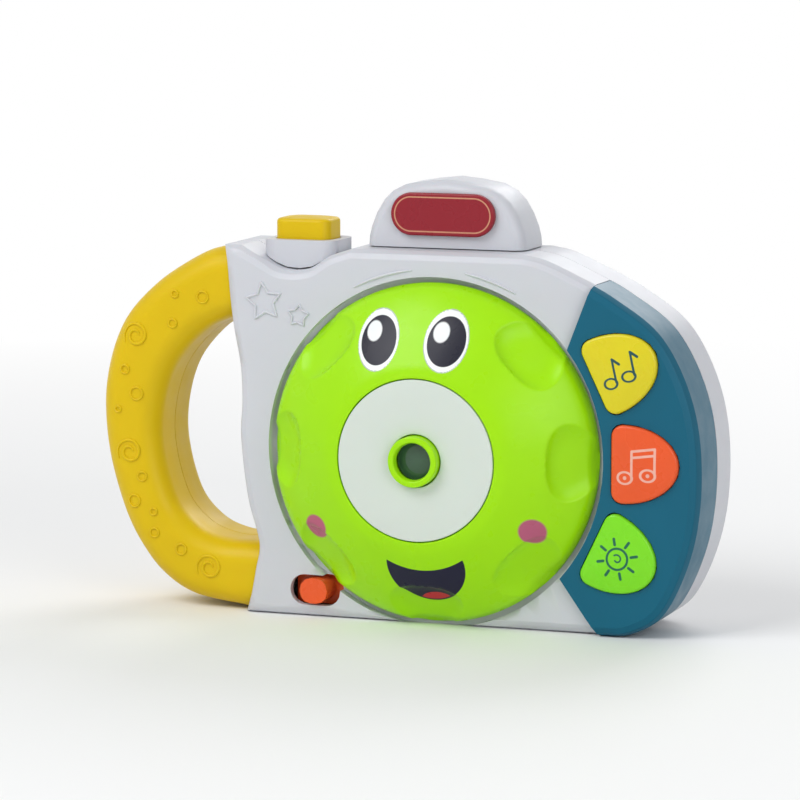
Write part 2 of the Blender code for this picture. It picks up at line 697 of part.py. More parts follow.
def half_tube(name, whole, front_half, adds, colour):
    """One half of a hollow solid with what is added inside it, cut off at the seam."""
    bm = bmesh.new()
    bm.from_mesh(evaluated_mesh(whole))
    bmesh.ops.transform(bm, matrix=whole.matrix_world, verts=bm.verts)
    half = mesh_object(name, bm, colour, closed=False)
    reach = 2 * HANDLE_REACH
    if front_half:
        low_y, high_y = SEAM_Y - GAP / 2, HANDLE_REAR + WALL
    else:
        low_y, high_y = HANDLE_FRONT - WALL, SEAM_Y + GAP / 2
    other_side = block(f"{name}_other_side", (-reach, low_y, -WALL), (reach, high_y, reach))
    fuse(half, joined(f"{name}_adds", adds), solver="MANIFOLD")
    return frozen(cut(half, other_side, solver="MANIFOLD"))


def screw(name, x, z, head_rear, length, head_radius=SCREW_HEAD_R, head=SCREW_HEAD_T, colour="steel"):
    """A screw along Y with its head at the rear, its end pointed, and a cross recess left to the finish."""
    under = head_rear - head
    end = under - length
    profile = [
        (0, end), (SCREW_R * 0.5, end), (SCREW_R, end + SCREW_R), (SCREW_R, under), (head_radius, under),
        (head_radius, head_rear - head * 0.4), (head_radius * 0.6, head_rear), (0, head_rear),
    ]
    return turned(name, profile, x, z, colour, steps=8)


def coil(name, centre, axis, radius, length, colour="steel"):
    """A compression spring whose centre line starts at centre and runs along an axis."""
    per_turn = 6
    count = int(SPRING_TURNS * per_turn) + 1
    rise = length - 2 * WIRE_R
    curve = bpy.data.curves.new(name, "CURVE")
    curve.dimensions = "3D"
    curve.bevel_depth = WIRE_R
    curve.bevel_resolution = 0
    curve.use_fill_caps = True
    spline = curve.splines.new("POLY")
    spline.points.add(count - 1)
    middle = radius - WIRE_R
    for i, point in enumerate(spline.points):
        turn = 2 * math.pi * i / per_turn
        along = WIRE_R + rise * i / (count - 1)
        a, b = middle * math.cos(turn), middle * math.sin(turn)
        local = {"X": (along, a, b), "Y": (a, along, b), "Z": (a, b, along)}[axis]
        point.co = (*local, 1)
    return frozen(add_object(name, curve, colour, centre))


def lead(name, route, colour):
    """A thin insulated wire along a smooth curve through its route."""
    curve = bpy.data.curves.new(name, "CURVE")
    curve.dimensions = "3D"
    curve.bevel_depth = LEAD_R
    curve.bevel_resolution = 0
    curve.use_fill_caps = True
    points = smooth(route, step=3)
    spline = curve.splines.new("POLY")
    spline.points.add(len(points) - 1)
    spline.points.foreach_set("co", [value for point in points for value in (*point, 1)])
    return frozen(add_object(name, curve, colour))


def body_solid():
    """The whole camera body as one rounded solid, which the two shells and the panel are cut from."""
    return plate("body_form", body_outline(), BODY_FRONT, BODY_REAR, rounding=BODY_ROUND)


def boss(name, place, front, rear, radius):
    """A round boss on the inside of a shell, placed from the head axis."""
    x, z = on_axis(*place)
    return rod(name, x, z, radius, front, rear)


def build_front_shell(body):
    """Front shell with the recess for the head, the socket for its core, and seats for what it carries."""
    shell = half_shell("front_shell", body, True, WALL, "white")
    x, z = on_axis(0, 0)
    pad = rod("recess_pad", x, z, RECESS_R + RECESS_WALL, BODY_FRONT + WALL / 2, FLOOR_REAR, sides=40)
    room = plate("pad_room", inset(body_outline(), WALL / 2), BODY_FRONT, SEAM_Y)
    inside = pad.modifiers.new("inside_body", "BOOLEAN")
    inside.operation = "INTERSECT"
    inside.object = room
    bosses = [rod("socket_boss", x, z, CORE_R + SLIDE_GAP + SOCKET_WALL, FLOOR_REAR - WALL / 2, CORE_END_Y)]
    holes = [
        rod("core_hole", x, z, CORE_R + SLIDE_GAP, FLOOR_Y - WALL, FLOOR_REAR),
        rod("lamp_hole", x, z + WINDOW_RING_R, LAMP_TUBE_R + GAP, FLOOR_Y - WALL, FLOOR_REAR + WALL),
        switch_slot(),
    ]
    for number, place in enumerate(HOUSING_SCREWS, 1):
        bosses.append(boss(f"boss_{number}", place, INNER_FRONT - WALL / 3, SEAM_Y - GAP / 2, BOSS_R))
        holes.append(pilot(f"pilot_{number}", place, WELL_FLOOR_Y - SCREW_LENGTH, SEAM_Y + WALL))
    board_rear = BOARD_T - BOARD_SCREW_LENGTH
    for number, place in enumerate(MAIN_BOARD_SCREWS, 1):
        front, rear = FLOOR_REAR - WALL / 3, MAIN_BOARD_Y - GAP
        bosses.append(boss(f"board_boss_{number}", place, front, rear, BOARD_BOSS_R))
        holes.append(pilot(f"board_pilot_{number}", place, MAIN_BOARD_Y + board_rear, MAIN_BOARD_Y + WALL))
    for number, place in enumerate(control_board_screws(), 1):
        front, rear = INNER_FRONT - WALL / 4, CONTROL_BOARD_Y - GAP
        bosses.append(boss(f"control_boss_{number}", place, front, rear, BOARD_BOSS_R))
        front, rear = CONTROL_BOARD_Y + board_rear, CONTROL_BOARD_Y + WALL
        holes.append(pilot(f"control_pilot_{number}", place, front, rear))
    for angle in button_angles():
        outline = button_outline(angle, GAP)
        holes.append(plate(f"button_hole_{angle:.0f}", outline, BODY_FRONT - WALL, INNER_FRONT + WALL / 3))
    zone = plate("panel_room", panel_zone(0), BODY_FRONT - WALL, SEAM_Y + WALL)
    keep = plate("panel_keep", inset(body_outline(), WALL + GAP), BODY_FRONT - 2 * WALL, SEAM_Y + 2 * WALL)
    recess = rod("recess", x, z, RECESS_R, BODY_FRONT - WALL, FLOOR_Y, sides=40)
    key = CORE_KEY / 2 + GAP
    slots = [block("key_hole", (x - key, FLOOR_Y, z - key), (x + key, CORE_END_Y + WALL, z + key))]
    slots += [hump_slot(), stem_hole()] + tongue_boxes(GAP) + detent_cuts()
    fuse(shell, pad, joined("front_bosses", bosses), solver="MANIFOLD")
    tools = [recess, joined("front_holes", holes), joined("front_slots", slots), cut(zone, keep)]
    cut(shell, *tools, solver="MANIFOLD")


def pilot(name, place, front, rear):
    """The hole in a boss for a screw's end, placed from the head axis."""
    x, z = on_axis(*place)
    return rod(name, x, z, SCREW_R + GAP, front, rear)


def button_angles():
    """Where the three push buttons stand on the panel, from the top down."""
    return BUTTON_STEP, 0.0, -BUTTON_STEP


def control_board_screws():
    """Places of the control board's two screws, between the buttons."""
    radius = CONTROL_BOARD_OUTER - BOARD_BOSS_R - GAP
    return [at_angle(radius, BUTTON_STEP / 2), at_angle(radius, -BUTTON_STEP / 2)]


def switch_slot():
    """The oval slot that the power switch knob slides in."""
    outline = rounded_box(SLOT_LENGTH, SLOT_HEIGHT, SLOT_HEIGHT / 2 - GAP / 3, (SLOT_X, SLOT_Z), corner=7)
    return plate("switch_slot", outline, BODY_FRONT - WALL, FLOOR_REAR + WALL / 2)


def hump_slot(name="hump_slot"):
    """The slot in the top of the body that the viewfinder housing's rib goes through."""
    x, z = on_axis(0, SHOULDER_HEIGHT)
    half = RIB_HALF + GAP
    thick = RIB_T / 2 + GAP
    return block(name, (x - half, SEAM_Y - thick, z - 2 * WALL), (x + half, SEAM_Y + thick, z + WALL))


def stem_hole(name="stem_hole"):
    """The hole through the top of the body for the shutter button's stem."""
    x, z = on_axis(SHUTTER_X, SCOOP_HEIGHT)
    return upright_rod(name, x, SHUTTER_Y, STEM_R + SLIDE_GAP, z - 2 * WALL, z + 2 * WALL)


def tongue_boxes(grow=0.0):
    """The handle's two tongues, or their holes in the body when grown."""
    found = []
    for name, (tx, tz) in (("top", TOP_TONGUE), ("bottom", BOTTOM_TONGUE)):
        x, z = on_axis(tx, tz)
        half = TONGUE_LENGTH / 2
        low = (x - half, SEAM_Y - GAP / 2 - 2 * TONGUE_Y - grow, z - TONGUE_Z - grow)
        high = (x + half, SEAM_Y + WALL, z + TONGUE_Z + grow)
        found.append(block(f"{name}_tongue_{'hole' if grow else 'block'}", low, high))
    return found


def detent_place():
    """Centre of the detent spring on the recess floor, counted from the head axis."""
    return at_angle(DIMPLE_RING_R, DETENT_ANGLE)


def detent_cuts():
    """The window for the detent's nose and the pilot hole of its screw."""
    dx, dz = detent_place()
    x, z = on_axis(dx, dz)
    half = DETENT_WIDTH / 2 + GAP
    nose = 3 * DETENT_NOSE
    low, high = (x - half, FLOOR_Y - WALL, z - nose), (x + half, FLOOR_REAR + WALL / 2, z + nose)
    screw_hole = rod(
        "detent_pilot", x, z - DETENT_HALF + DETENT_WIDTH / 2, SCREW_R + GAP, FLOOR_Y + WALL / 4,
        FLOOR_REAR + WALL, sides=12,
    )
    return [block("nose_window", low, high), screw_hole]


def build_rear_shell(body):
    """Rear shell with the battery bay, the speaker's collar and grille, and the screw wells."""
    shell = half_shell("rear_shell", body, False, WALL, "white")
    bay_x = HEAD_X + BAY_X
    outer = BAY_HALF + BAY_WALL
    walls = block(
        "bay_walls", (bay_x - outer, BAY_FRONT - BAY_WALL, WALL + GAP),
        (bay_x + outer, INNER_REAR + WALL / 2, BAY_TOP + BAY_WALL),
    )
    floor = block(
        "bay_floor", (bay_x - outer, SEAM_Y + GAP / 2, WALL / 2), (bay_x + outer, INNER_REAR, WALL + 2 * GAP),
    )
    frame = block(
        "door_frame", (bay_x - outer - DOOR_LEDGE, LEDGE_Y - WALL, WALL / 3),
        (bay_x + outer + DOOR_LEDGE, INNER_REAR + WALL / 3, BAY_TOP + DOOR_TAB + DOOR_LEDGE + WALL),
    )
    sx, sz = on_axis(SPEAKER_X, SPEAKER_Z)
    dx, dz = door_screw_place()
    collar_front = INNER_REAR - SPEAKER_DEPTH / 2
    bosses = [
        rod("speaker_collar", sx, sz, SPEAKER_R + GAP + BAY_WALL, collar_front, INNER_REAR + WALL / 2, sides=28),
        rod("door_boss", dx, dz, BOSS_R, LEDGE_Y - DOOR_SCREW_LENGTH, LEDGE_Y - WALL / 2),
    ]
    rooms = [
        block("bay_hollow", (bay_x - BAY_HALF, BAY_FRONT, BAY_BOTTOM), (bay_x + BAY_HALF, BODY_REAR, BAY_TOP)),
        rod("speaker_room", sx, sz, SPEAKER_R + GAP, collar_front - WALL, INNER_REAR, sides=28),
        rod("door_pilot", dx, dz, SCREW_R + GAP, LEDGE_Y - 2 * DOOR_SCREW_LENGTH, LEDGE_Y + WALL / 2),
        hump_slot("hump_slot_rear"), stem_hole("stem_hole_rear"),
    ]
    holes = [plate("door_room", door_outline(-GAP), LEDGE_Y, BODY_REAR + WALL)] + grille_holes()
    for number, place in enumerate(HOUSING_SCREWS, 1):
        px, pz = on_axis(*place)
        front, rear = SEAM_Y + GAP / 2, INNER_REAR + WALL / 2
        bosses.append(boss(f"well_wall_{number}", place, front, rear, WELL_R + WELL_WALL))
        rooms.append(rod(f"well_{number}", px, pz, WELL_R, WELL_FLOOR_Y, BODY_REAR + WALL))
        holes.append(pilot(f"well_hole_{number}", place, SEAM_Y - WALL, WELL_FLOOR_Y + WALL))
    fuse(shell, walls, floor, frame, joined("rear_bosses", bosses), solver="MANIFOLD")
    cut(shell, joined("rear_rooms", rooms), joined("rear_holes", holes), solver="MANIFOLD")


def grille_holes():
    """Sound holes: one in the middle and a ring of six round it."""
    found = []
    for ring in range(2):
        for i in range(max(1, 6 * ring)):
            dx, dz = at_angle(ring * GRILLE_STEP, 60.0 * i / max(1, ring))
            x, z = on_axis(SPEAKER_X + dx, SPEAKER_Z + dz)
            front, rear = INNER_REAR - WALL / 2, BODY_REAR + WALL
            found.append(rod(f"grille_{ring}_{i}", x, z, GRILLE_HOLE_R, front, rear, sides=8))
    return found


def joined(name, objects):
    """Several helpers that lie apart, as one mesh."""
    bm = bmesh.new()
    for obj in objects:
        mesh = evaluated_mesh(obj)
        mesh.transform(obj.matrix_world)
        bm.from_mesh(mesh)
        bpy.data.meshes.remove(mesh)
        bpy.data.objects.remove(obj)
    return mesh_object(name, bm, None, smooth=False)


def door_outline(shrink=0.0):
    """The battery door from behind, in the same (x, z) as the other outlines."""
    width = 2 * (BAY_HALF + DOOR_LEDGE - shrink)
    bottom, top = BAY_BOTTOM - DOOR_LEDGE / 2, BAY_TOP + DOOR_TAB
    height = top - bottom - 2 * shrink
    return rounded_box(width, height, DOOR_CORNER, (BAY_X, (bottom + top) / 2 - HEAD_Z))


def door_screw_place():
    """World x and z of the battery door's screw, above the bay."""
    return HEAD_X + BAY_X, BAY_TOP + DOOR_TAB - DOOR_RIM - SCREW_HEAD_R


def build_battery_door():
    """The door with the counterbore of its captive screw."""
    door = plate("battery_door", door_outline(), DOOR_INNER, BODY_REAR, "white")
    x, z = door_screw_place()
    seat = BODY_REAR - DOOR_HEAD_T - 2 * GAP
    cut(
        door, rod("door_counterbore", x, z, SCREW_HEAD_R + GAP, seat, BODY_REAR + WALL),
        rod("door_hole", x, z, SCREW_R + GAP, DOOR_INNER - WALL, seat + WALL / 2, sides=12),
    )
    screw("battery_door_screw", x, z, BODY_REAR - GAP, DOOR_SCREW_LENGTH, head=DOOR_HEAD_T)


def build_cells():
    """Two AA cells side by side in the bay, poles opposite, with their three contacts."""
    x = HEAD_X + BAY_X
    heights = [BAY_BOTTOM + CELL_GAP + CELL_R, BAY_BOTTOM + 2 * CELL_GAP + 3 * CELL_R]
    nub_start = CELL_LENGTH / 2 - CELL_NUB_LENGTH
    for number, (z, sign) in enumerate(zip(heights, (1, -1)), 1):
        profile = [
            (0, nub_start + CELL_NUB_LENGTH), (CELL_NUB_R, nub_start + CELL_NUB_LENGTH), (CELL_NUB_R, nub_start),
            (CELL_R, nub_start), (CELL_R, -CELL_LENGTH / 2), (0, -CELL_LENGTH / 2),
        ]
        # turned() reads depths down the outer side, so the profile is mirrored along the cell
        cell = turned(f"battery_{number}", [(r, -along) for r, along in profile], x, z, "copper", 18, axis="X")
        cell.location.y = CELL_Y
        if sign < 0:
            cell.rotation_euler = (0, math.radians(90), 0)
    wall = x + BAY_HALF - GAP
    other = x - BAY_HALF + GAP
    half = CONTACT_SIZE / 2
    spring_length = CONTACT_SPACE - CONTACT_T - 3 * GAP
    for name, z in zip(("contact_plus", "contact_minus"), heights):
        block(name, (wall - CONTACT_T, CELL_Y - half, z - half), (wall, CELL_Y + half, z + half), "steel")
    block(
        "contact_bridge", (other, CELL_Y - half, heights[0] - half),
        (other + CONTACT_T, CELL_Y + half, heights[1] + half), "steel",
    )
    coil(
        "contact_spring_1", (wall - CONTACT_T - GAP - spring_length, CELL_Y, heights[1]), "X", CONTACT_COIL_R,
        spring_length,
    )
    coil("contact_spring_2", (other + CONTACT_T + GAP, CELL_Y, heights[0]), "X", CONTACT_COIL_R, spring_length)


def build_handle():
    """Two hollow halves of the C-shaped handle, cut off at the body, the front one with the keying tongues."""
    outline = handle_outline()
    whole = plate("handle_form", outline, HANDLE_FRONT, HANDLE_REAR, rounding=HANDLE_ROUND)
    hollow = plate(
        "handle_hollow", inset(outline, WALL), HANDLE_FRONT + WALL, HANDLE_REAR - WALL, rounding=HANDLE_ROUND - WALL
    )
    near, far = HANDLE_FRONT - WALL, HANDLE_REAR + WALL
    cut(hollow, plate("hollow_trim", inset(body_outline(), -GAP - WALL), near, far), solver="MANIFOLD")
    cut(whole, plate("handle_trim", inset(body_outline(), -GAP), near, far), hollow, solver="MANIFOLD")
    adds, pilots, well_walls, wells, holes = tongue_boxes(), [], [], [], []
    for number, place in enumerate(HANDLE_SCREWS, 1):
        px, pz = on_axis(*place)
        adds.append(boss(f"handle_boss_{number}", place, HANDLE_FRONT + WALL / 2, SEAM_Y + WALL, BOSS_R))
        pilots.append(pilot(f"handle_pilot_{number}", place, WELL_FLOOR_Y - SCREW_LENGTH, SEAM_Y + WALL))
        near, far = SEAM_Y - WALL, HANDLE_REAR - WALL / 2
        well_walls.append(boss(f"handle_well_wall_{number}", place, near, far, WELL_R + WELL_WALL))
        wells.append(rod(f"handle_well_{number}", px, pz, WELL_R, WELL_FLOOR_Y, HANDLE_REAR + WALL))
        holes.append(pilot(f"handle_hole_{number}", place, SEAM_Y - WALL, WELL_FLOOR_Y + WALL))
    front = half_tube("handle_front", whole, True, adds, "yellow")
    rear = half_tube("handle_rear", whole, False, well_walls, "yellow")
    cut(front, joined("handle_pilots", pilots), solver="MANIFOLD")
    cut(rear, joined("handle_wells", wells), joined("handle_holes", holes), solver="MANIFOLD")


def build_panel():
    """The crescent button panel: its face over the front shell and its skirt down the side to the seam."""
    form = plate("panel_form", body_outline(), PANEL_FRONT, BODY_REAR, rounding=BODY_ROUND)
    panel = half_shell("control_panel", form, True, PANEL_T, "teal")
    zone = plate("panel_cut", panel_zone(GAP), PANEL_FRONT - WALL, SEAM_Y + WALL)
    keep = panel.modifiers.new("crescent", "BOOLEAN")
    keep.operation = "INTERSECT"
    keep.object = zone
    holes = [
        plate(f"panel_hole_{angle:.0f}", button_outline(angle, GAP), PANEL_FRONT - WALL, BODY_FRONT)
        for angle in button_angles()
    ]
    return cut(panel, joined("panel_holes", holes))


def build_buttons():
    """Three D-shaped push buttons, each with a lip behind the shell and a return spring on the control board."""
    lip_front = INNER_FRONT + GAP
    front = PANEL_FRONT - BUTTON_PROUD
    colours = ("button_yellow", "orange", "button_green")
    for name, angle, colour in zip(("music", "disco", "laughter"), button_angles(), colours):
        cap = plate(f"{name}_button", button_outline(angle), front, lip_front + BUTTON_LIP_T, colour)
        lip = plate(
            f"{name}_lip", button_outline(angle, BUTTON_LIP, BUTTON_LIP / 2), lip_front,
            lip_front + BUTTON_LIP_T - GAP / 3,
        )
        hollow = plate(
            f"{name}_hollow", button_outline(angle, -BUTTON_T), front + BUTTON_T, lip_front + 2 * BUTTON_LIP_T,
        )
        cut(fuse(cap, lip), hollow)
        x, z = on_axis(*at_angle(BUTTON_INNER + BUTTON_DEPTH / 2, angle))
        start = front + BUTTON_T + GAP
        coil(f"{name}_spring", (x, start, z), "Y", BUTTON_SPRING_R, CONTROL_BOARD_Y - GAP - start)


def build_boards():
    """The control board behind the buttons, the main board, the shutter switch and the board screws."""
    inner, outer = CONTROL_BOARD_INNER, CONTROL_BOARD_OUTER
    outline = arc((0, 0), outer, -CONTROL_BOARD_ANGLE, CONTROL_BOARD_ANGLE, 15)
    outline += arc((0, 0), inner, CONTROL_BOARD_ANGLE, -CONTROL_BOARD_ANGLE, 15)
    holes = [arc(place, SCREW_R + GAP, 0, 330, 12) for place in control_board_screws()]
    plate("control_board", outline, CONTROL_BOARD_Y, CONTROL_BOARD_Y + BOARD_T, "board", holes)
    for number, place in enumerate(control_board_screws(), 1):
        board_screw(f"control_board_screw_{number}", place, CONTROL_BOARD_Y)
    width, height = MAIN_BOARD_RIGHT - MAIN_BOARD_LEFT, MAIN_BOARD_TOP - MAIN_BOARD_BOTTOM
    centre = ((MAIN_BOARD_RIGHT + MAIN_BOARD_LEFT) / 2, (MAIN_BOARD_TOP + MAIN_BOARD_BOTTOM) / 2)
    holes = [arc(place, SCREW_R + GAP, 0, 330, 12) for place in MAIN_BOARD_SCREWS]
    outline = rounded_box(width, height, BOARD_CORNER, centre)
    plate("main_board", outline, MAIN_BOARD_Y, MAIN_BOARD_Y + BOARD_T, "board", holes)
    for number, place in enumerate(MAIN_BOARD_SCREWS, 1):
        board_screw(f"main_board_screw_{number}", place, MAIN_BOARD_Y)
    x, z = on_axis(SHUTTER_X, tact_top())
    rear = MAIN_BOARD_Y - GAP
    body = block(
        "shutter_switch", (x - TACT_WIDTH / 2, rear - TACT_DEPTH, z - TACT_HEIGHT), (x + TACT_WIDTH / 2, rear, z),
        "black",
    )
    top = HEAD_Z + STEM_END - SHUTTER_TRAVEL - GAP
    fuse(body, upright_rod("tact_plunger", x, rear - TACT_DEPTH / 2, TACT_PLUNGER_R, z - WALL, top, sides=12))


def tact_top():
    """Height of the shutter switch's case above the head axis, one plunger below the stem's lowest place."""
    return STEM_END - SHUTTER_TRAVEL - GAP - TACT_PLUNGER_R


def board_screw(name, place, board_y):
    """A short screw that holds a board to its boss."""
    x, z = on_axis(*place)
    rear = board_y + BOARD_T + GAP + BOARD_SCREW_HEAD_T
    length = BOARD_SCREW_LENGTH - 2 * GAP
    screw(name, x, z, rear, length, BOARD_SCREW_HEAD_R, BOARD_SCREW_HEAD_T)


def build_housing_screws():
    """The screws that close the body and the handle, in their wells."""
    for prefix, places in (("housing_screw", HOUSING_SCREWS), ("handle_screw", HANDLE_SCREWS)):
        for number, place in enumerate(places, 1):
            x, z = on_axis(*place)
            screw(f"{prefix}_{number}", x, z, WELL_FLOOR_Y + GAP + SCREW_HEAD_T, SCREW_LENGTH)


def build_hump():
    """The viewfinder housing on top, its clamped rib and foot, and the plaque on its face."""
    base = SHOULDER_HEIGHT + GAP
    side = smooth(
        [
            (HUMP_HALF, base - 2 * HUMP_ROUND), (HUMP_HALF, base),
            *((HUMP_HALF + x, base + z) for x, z in HUMP_SIDE),
            (HUMP_HALF + HUMP_SHOULDER[0], HUMP_HEIGHT + HUMP_SHOULDER[1]), (0, HUMP_HEIGHT),
        ]
    )
    outline = side + [(-x, z) for x, z in side[-2::-1]]
    form = plate("hump_form", outline, HUMP_FRONT, HUMP_REAR, rounding=HUMP_ROUND)
    bm = bmesh.new()
    bm.from_mesh(evaluated_mesh(form))
    bmesh.ops.transform(bm, matrix=form.matrix_world, verts=bm.verts)
    bmesh.ops.bisect_plane(
        bm, geom=bm.verts[:] + bm.edges[:] + bm.faces[:], plane_co=(0, 0, HEAD_Z + base), plane_no=(0, 0, -1),
        clear_outer=True,
    )
    hump = mesh_object("viewfinder_housing", bm, "white", closed=False)
    solid = hump.modifiers.new("wall", "SOLIDIFY")
    solid.thickness = WALL
    solid.offset = -1
    solid.use_even_offset = True
    hump = frozen(hump)
    x, z = on_axis(0, SHOULDER_HEIGHT)
    half = RIB_T / 2
    foot_top = z - WALL - GAP
    web_outline = [point for point in inset(outline, WALL / 2) if point[1] > base + GAP]
    web = plate("rib_web", web_outline, SEAM_Y - half, SEAM_Y + half)
    rib = block(
        "rib", (x - RIB_HALF, SEAM_Y - half, foot_top - FOOT_T / 2),
        (x + RIB_HALF, SEAM_Y + half, HEAD_Z + base + 2 * WALL),
    )
    reach = half + FOOT_REACH
    low, high = (x - FOOT_HALF, SEAM_Y - reach, foot_top - FOOT_T), (x + FOOT_HALF, SEAM_Y + reach, foot_top)
    fuse(hump, web, rib, block("foot", low, high))
    outline = rounded_box(BADGE_WIDTH, BADGE_HEIGHT, BADGE_HEIGHT / 2 - GAP, (0, BADGE_Z), corner=6)
    plate("badge_plate", outline, HUMP_FRONT - GAP - BADGE_T, HUMP_FRONT - GAP, "red")


def build_shutter():
    """The shutter seat in the dip of the body's top, its button with a stem, and the return spring."""
    x, top = on_axis(SHUTTER_X, SEAT_TOP)
    outline = rounded_box(SEAT_WIDTH, SEAT_DEPTH, SEAT_CORNER)
    seat = upright_plate("shutter_seat", outline, x, SHUTTER_Y, HEAD_Z + SCOOP_HEIGHT - WALL, top, "white")
    under = plate("seat_trim", inset(body_outline(), -GAP), BODY_FRONT - WALL, BODY_REAR + WALL)
    hump_side = plate("seat_hump_trim", hump_clearance(), BODY_FRONT - WALL, BODY_REAR + WALL)
    clear = 2 * SHUTTER_CLEARANCE
    pocket = upright_plate(
        "seat_pocket", rounded_box(SHUTTER_WIDTH + clear, SHUTTER_LENGTH + clear, SHUTTER_CORNER + clear / 2),
        x, SHUTTER_Y, HEAD_Z + POCKET_FLOOR, top + WALL,
    )
    hole = upright_rod("seat_hole", x, SHUTTER_Y, STEM_R + SLIDE_GAP, HEAD_Z + SCOOP_HEIGHT - 3 * WALL, top)
    cut(seat, under, hump_side, pocket, hole)
    bottom = HEAD_Z + POCKET_FLOOR + SHUTTER_TRAVEL + GAP
    peak = HEAD_Z + SHUTTER_TOP
    outline = rounded_box(SHUTTER_WIDTH, SHUTTER_LENGTH, SHUTTER_CORNER)
    cap = upright_plate("shutter_button", outline, x, SHUTTER_Y, bottom, peak, "yellow")
    wall = 2 * SHUTTER_WALL
    outline = rounded_box(SHUTTER_WIDTH - wall, SHUTTER_LENGTH - wall, SHUTTER_CORNER - SHUTTER_WALL)
    hollow = upright_plate("button_hollow", outline, x, SHUTTER_Y, bottom - WALL, peak - SHUTTER_WALL)
    stem = upright_rod("stem", x, SHUTTER_Y, STEM_R, HEAD_Z + STEM_END, peak - SHUTTER_WALL / 2)
    fuse(cut(cap, hollow), stem)
    start = HEAD_Z + POCKET_FLOOR + GAP
    coil("shutter_spring", (x, SHUTTER_Y, start), "Z", SHUTTER_SPRING_R, peak - SHUTTER_WALL - GAP - start)


def hump_clearance():
    """A block where the viewfinder housing stands, which the shutter seat stays clear of."""
    half, low = HUMP_HALF + GAP, SHOULDER_HEIGHT - WALL
    return [(-half, low), (half, low), (half, HUMP_HEIGHT), (-half, HUMP_HEIGHT)]


def upright_plate(name, outline, x, y, bottom, top, colour=None):
    """A flat outline of (x, y) points with its thickness along Z."""
    curve = bpy.data.curves.new(name, "CURVE")
    curve.dimensions = "2D"
    curve.fill_mode = "BOTH"
    curve.extrude = (top - bottom) / 2
    spline = curve.splines.new("POLY")
    spline.points.add(len(outline) - 1)
    spline.points.foreach_set("co", [value for px, py in outline for value in (px, py, 0, 1)])
    spline.use_cyclic_u = True
    obj = add_object(name, curve, colour, (x, y, (bottom + top) / 2))
    return frozen(obj)


def build_power_switch():
    """The sliding knob in its oval slot, with the slider behind the wall, and the switch body."""
    x, z = on_axis(SLOT_X, SLOT_Z)
    outline = rounded_box(KNOB_LENGTH, KNOB_HEIGHT, KNOB_CORNER, (SLOT_X, SLOT_Z))
    slider_front = FLOOR_REAR + GAP
    knob = plate("power_switch_knob", outline, BODY_FRONT - KNOB_PROUD, slider_front + SLIDER_T / 2, "orange")
    half = SLIDER_LENGTH / 2
    tall = SLOT_HEIGHT / 2 + GAP
    slider = block("slider", (x - half, slider_front, z - tall), (x + half, slider_front + SLIDER_T, z + tall))
    fuse(knob, slider)
    front = slider_front + SLIDER_T + GAP
    width, depth, height = SWITCH_SIZE
    block(
        "power_switch_body", (x - width / 2, front, z - height / 2), (x + width / 2, front + depth, z + height / 2),
        "black",
    )


